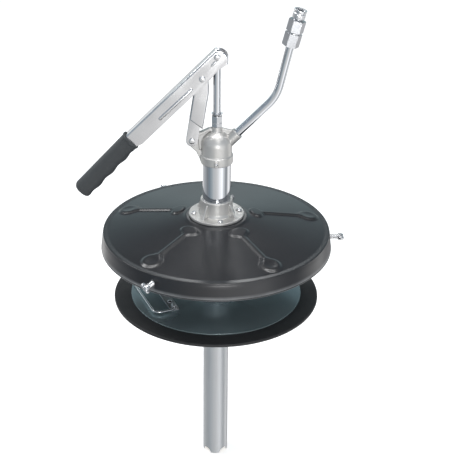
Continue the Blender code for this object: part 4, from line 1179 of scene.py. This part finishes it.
lever_side = LEVER_WIDTH / 2 + 0.0003
fulcrum_place = lever_place @ Matrix.Translation((FULCRUM[0], 0.0, FULCRUM[1]))
half_turn = Matrix.Rotation(math.pi, 4, "Z")
settle(pin("rod_pivot_pin", lever_place, -lever_side, 0.0135), "lever", zinc, "zinc_plate", "rod_pin")
settle(clip("rod_pivot_clip", lever_place, lever_side), "lever", plain_steel, "steel", "rod_pin_clip")
settle(pin("fulcrum_head_front", fulcrum_place, -lever_side, -0.0085), "lever", zinc, "zinc_plate",
       "fulcrum_rivet_front")
settle(pin("fulcrum_head_rear", fulcrum_place @ half_turn, -lever_side, -0.0085), "lever", zinc,
       "zinc_plate", "fulcrum_rivet_rear")

# ------------------------------------------------------------------ link
# The link is a folded steel channel that carries the lever's fulcrum; its
# ears are set in at the bottom to straddle the lug of the head.
fulcrum = fulcrum_place.translation
reach = fulcrum - lug
length = reach.length
link_place = Matrix.Translation(lug) @ Matrix.Rotation(math.atan2(reach.x, reach.z), 4, "Y")
crown_line = arc((0.0, length), 0.0105, range(180, -1, -10))
channel = plate("link_blank", [(-0.0105, 0.0368)] + crown_line + [
    (0.0125, length - 0.010), (0.0148, length - 0.024), (0.0148, 0.0232)], 0.0160, 0.0036, rounding=5)
ears = plate("link_ears", arc((0.0, 0.0), 0.0100, range(180, 361, 10))
             + [(0.0100, 0.046), (-0.0098, 0.046)], 0.0140, 0.0005)
combine(channel, ears, "UNION")
combine(channel, plate("link_hollow", [(-0.030, 0.0400), (-0.030, length + 0.03),
                                       (0.0130, length + 0.03), (0.0130, 0.0400)], 0.0124, 0.0008))
combine(channel, plate("link_throat", [(-0.030, -0.02), (-0.030, 0.0401), (0.0130, 0.0401),
                                       (0.0130, 0.0150), (0.030, 0.0150), (0.030, -0.02)],
                       0.0104, 0.0001))
for z in (0.0, length):
    combine(channel, peg("link_pivot_tool", (0, -0.02, z), (0, 0.02, z), PIVOT_BORE, 48))
shade(channel, 30)
channel.data.transform(link_place)
channel.name = "channel_link"
settle(channel, "link", zinc, "zinc_plate", "link")
bush = lathe("fulcrum_spacer", [(0.0040, 0.0078), (0.0040, -0.0078), (0.0015, -0.0078),
                                (0.0015, 0.0078)], 48, 0.0003)
bush.data.transform(link_place @ Matrix.Translation((0, 0, length))
                    @ Matrix.Rotation(math.radians(90.0), 4, "X"))
settle(bush, "link", plain_steel, "steel", "fulcrum_bush")
settle(pin("lug_pivot_pin", Matrix.Translation(lug), -0.0073, 0.0103), "link", zinc, "zinc_plate",
       "lug_pin")
settle(clip("lug_pivot_clip", Matrix.Translation(lug), 0.0073), "link", plain_steel, "steel",
       "lug_pin_clip")

# ------------------------------------------------------------------ follower
# The follower keeps the grease level: a bright steel plate and a back plate
# grip a wide rubber wiping ring, and a rubber gland slides on the tube.
low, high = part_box("follower_plate")
plate_top, plate_low, plate_radius = high.z, low.z, high.x
HUB_BORE = 0.030
disc_profile = soften([(HUB_BORE, plate_top), (plate_radius, plate_top),
                       (plate_radius, plate_low), (HUB_BORE, plate_low)], 0.0003, 3)
disc = mesh_piece("follower_disc", *revolve(disc_profile, 240), sharp=40)
hub_spots = [spot_of(f"hub_screw_{number}") for number in (1, 2, 3, 4)]
strap_spots = [spot_of(f"strap_rivet_{number}") for number in (1, 2)]
RIVET_BORE = 0.0028


def bores(piece, spots, below, above, radius=0.0026):
    """Clearance holes straight through the piece at the given spots."""
    for spot in spots:
        combine(piece, peg("bore_tool", (*spot, below), (*spot, above), radius, 24))


bores(disc, hub_spots, plate_low - 0.01, plate_top + 0.01)
bores(disc, strap_spots, plate_low - 0.01, plate_top + 0.01, RIVET_BORE)
shade(disc, 40)

mirror_zinc, tree, shader = material("polished_zinc_plate", 0.70)
sheen = place_group(tree, grain, Scale=260.0, Patch_Scale=10.0, Depth=0.02,
                    Rough_Low=0.20, Rough_High=0.30)
dress(tree, shader, tone(tree, sheen.outputs["Patch"], (0.34, 0.44, 0.46), (0.46, 0.56, 0.58)), sheen)
settle(disc, "follower", mirror_zinc, "zinc_plate", "follower_plate")

low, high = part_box("follower_ring")
wiping = mesh_piece("wiping_ring", *revolve(soften([
    (0.118, high.z), (high.x - 0.0012, high.z), (high.x, high.z - 0.0016),
    (high.x, low.z + 0.0012), (high.x - 0.0012, low.z), (0.118, low.z)], 0.0008), 240), sharp=50)
settle(wiping, "follower", rubber, "black_rubber", "follower_ring")
back_plate = ring_like("follower_back_plate", "back_disc", 200)
low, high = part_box("hub_screw_1")
bores(back_plate, hub_spots, low.z - 0.01, high.z)
shade(back_plate, 40)
settle(back_plate, "follower", plain_steel, "steel", "follower_back_plate")
for number, spot in enumerate(hub_spots, 1):
    screw = headed_screw(f"hub_pan_screw_{number}", *spot, plate_top + 0.0003, 0.0044, 0.0024,
                         low.z, 0.0021, number * 0.8)
    settle(screw, "follower", zinc, "zinc_plate", f"hub_screw_{number}")
hub = ring_like("follower_hub", "hub_spacer")
bores(hub, hub_spots, low.z - 0.01, high.z)
settle(hub, "follower", plain_steel, "steel", "follower_hub")
low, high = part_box("tube_wiper")
gland_ring = lathe("tube_gland", [(0.0262, high.z), (high.x, high.z - 0.0050), (high.x, low.z),
                                  (0.0229, low.z), (0.0229, high.z)], 128, 0.0008)
settle(gland_ring, "follower", rubber, "black_rubber", "tube_wiper")

# ------------------------------------------------------------------ bail
# A wire bail on a riveted strap lifts the follower out of the drum; its ends
# turn in two knuckles.
bail_joint = joints["bail_fold"]
bail_axis = Vector(bail_joint["axis"])
bail_place = (Matrix.Translation(bail_joint["pos_m"])
              @ Matrix.Rotation(math.atan2(bail_axis.y, bail_axis.x), 4, "Z"))
HALF, REACH, WIRE = 0.062, 0.039, 0.0022
bail = bent_tube("wire_bail", [(-HALF + 0.018, 0, 0), (-HALF, 0, 0), (-HALF, REACH, 0),
                               (HALF, REACH, 0), (HALF, 0, 0), (HALF - 0.018, 0, 0)],
                 WIRE, 0.012, 5, 10)
bail.data.transform(bail_place)
settle(bail, "bail", zinc, "chrome", "bail_handle")

under = plate_top + 0.0003 - bail_joint["pos_m"][2]
strap = plate("strap_blank", soften([(-HALF + 0.004, -0.008), (HALF - 0.004, -0.008),
                                     (HALF - 0.004, 0.008), (-HALF + 0.004, 0.008)], 0.003, 5),
              0.0022, 0.0003)
strap.data.transform(Matrix.Translation((0, 0, under + 0.0011))
                     @ Matrix.Rotation(math.radians(-90.0), 4, "X"))
for side in (-1.0, 1.0):
    near = min(side * (HALF - 0.016), side * (HALF - 0.006))
    knuckle = plate("knuckle", arc((0.0, 0.0), 0.0040, range(0, 181, 12))
                    + [(-0.0046, under + 0.001), (0.0046, under + 0.001)], 0.010, 0.0004)
    knuckle.data.transform(Matrix.Translation((near + 0.005, 0, 0))
                           @ Matrix.Rotation(math.radians(90.0), 4, "Z"))
    combine(strap, knuckle, "UNION")
    combine(strap, peg("rivet_tool", (side * 0.030, 0, -0.02), (side * 0.030, 0, 0.02), RIVET_BORE, 24))
combine(strap, peg("bail_tool", (-0.08, 0, 0), (0.08, 0, 0), WIRE + 0.0004, 32))
shade(strap, 35)
strap.data.transform(bail_place)
strap.name = "bail_strap_plate"
settle(strap, "follower", drawn, "zinc_plate", "bail_strap")
for number, spot in enumerate(strap_spots, 1):
    low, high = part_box(f"strap_rivet_{number}")
    rivet = pin(f"dome_rivet_{number}", Matrix.Translation((*spot, 0.0))
                @ Matrix.Rotation(math.radians(-90.0), 4, "X"), -(high.z - 0.0020), -low.z,
                0.0024, 0.0045, 0.0020)
    settle(rivet, "follower", zinc, "zinc_plate", f"strap_rivet_{number}")

# ------------------------------------------------------------------ inner pieces
# Inside the tube are the rod extension, the piston with its two cups, the
# valve balls and the foot valve.  They keep their solids and get real finishes.
brass, tree, shader = material("machined_brass", 1.0)
turning = place_group(tree, grain, Scale=600.0, Patch_Scale=40.0, Depth=0.06,
                      Rough_Low=0.22, Rough_High=0.36)
dress(tree, shader, tone(tree, turning.outputs["Patch"], (0.62, 0.44, 0.17), (0.76, 0.57, 0.26)),
      turning)

for finish, names in (
        (plain_steel, ("rod_extension", "inlet_ball", "discharge_ball", "valve_stop_pin")),
        (brass, ("piston", "foot_valve_body")),
        (rubber, ("piston_cup_upper", "piston_cup_lower", "tube_o_ring"))):
    for name in names:
        nodes[name].data.materials.clear()
        nodes[name].data.materials.append(finish)
        shade(nodes[name], 40)
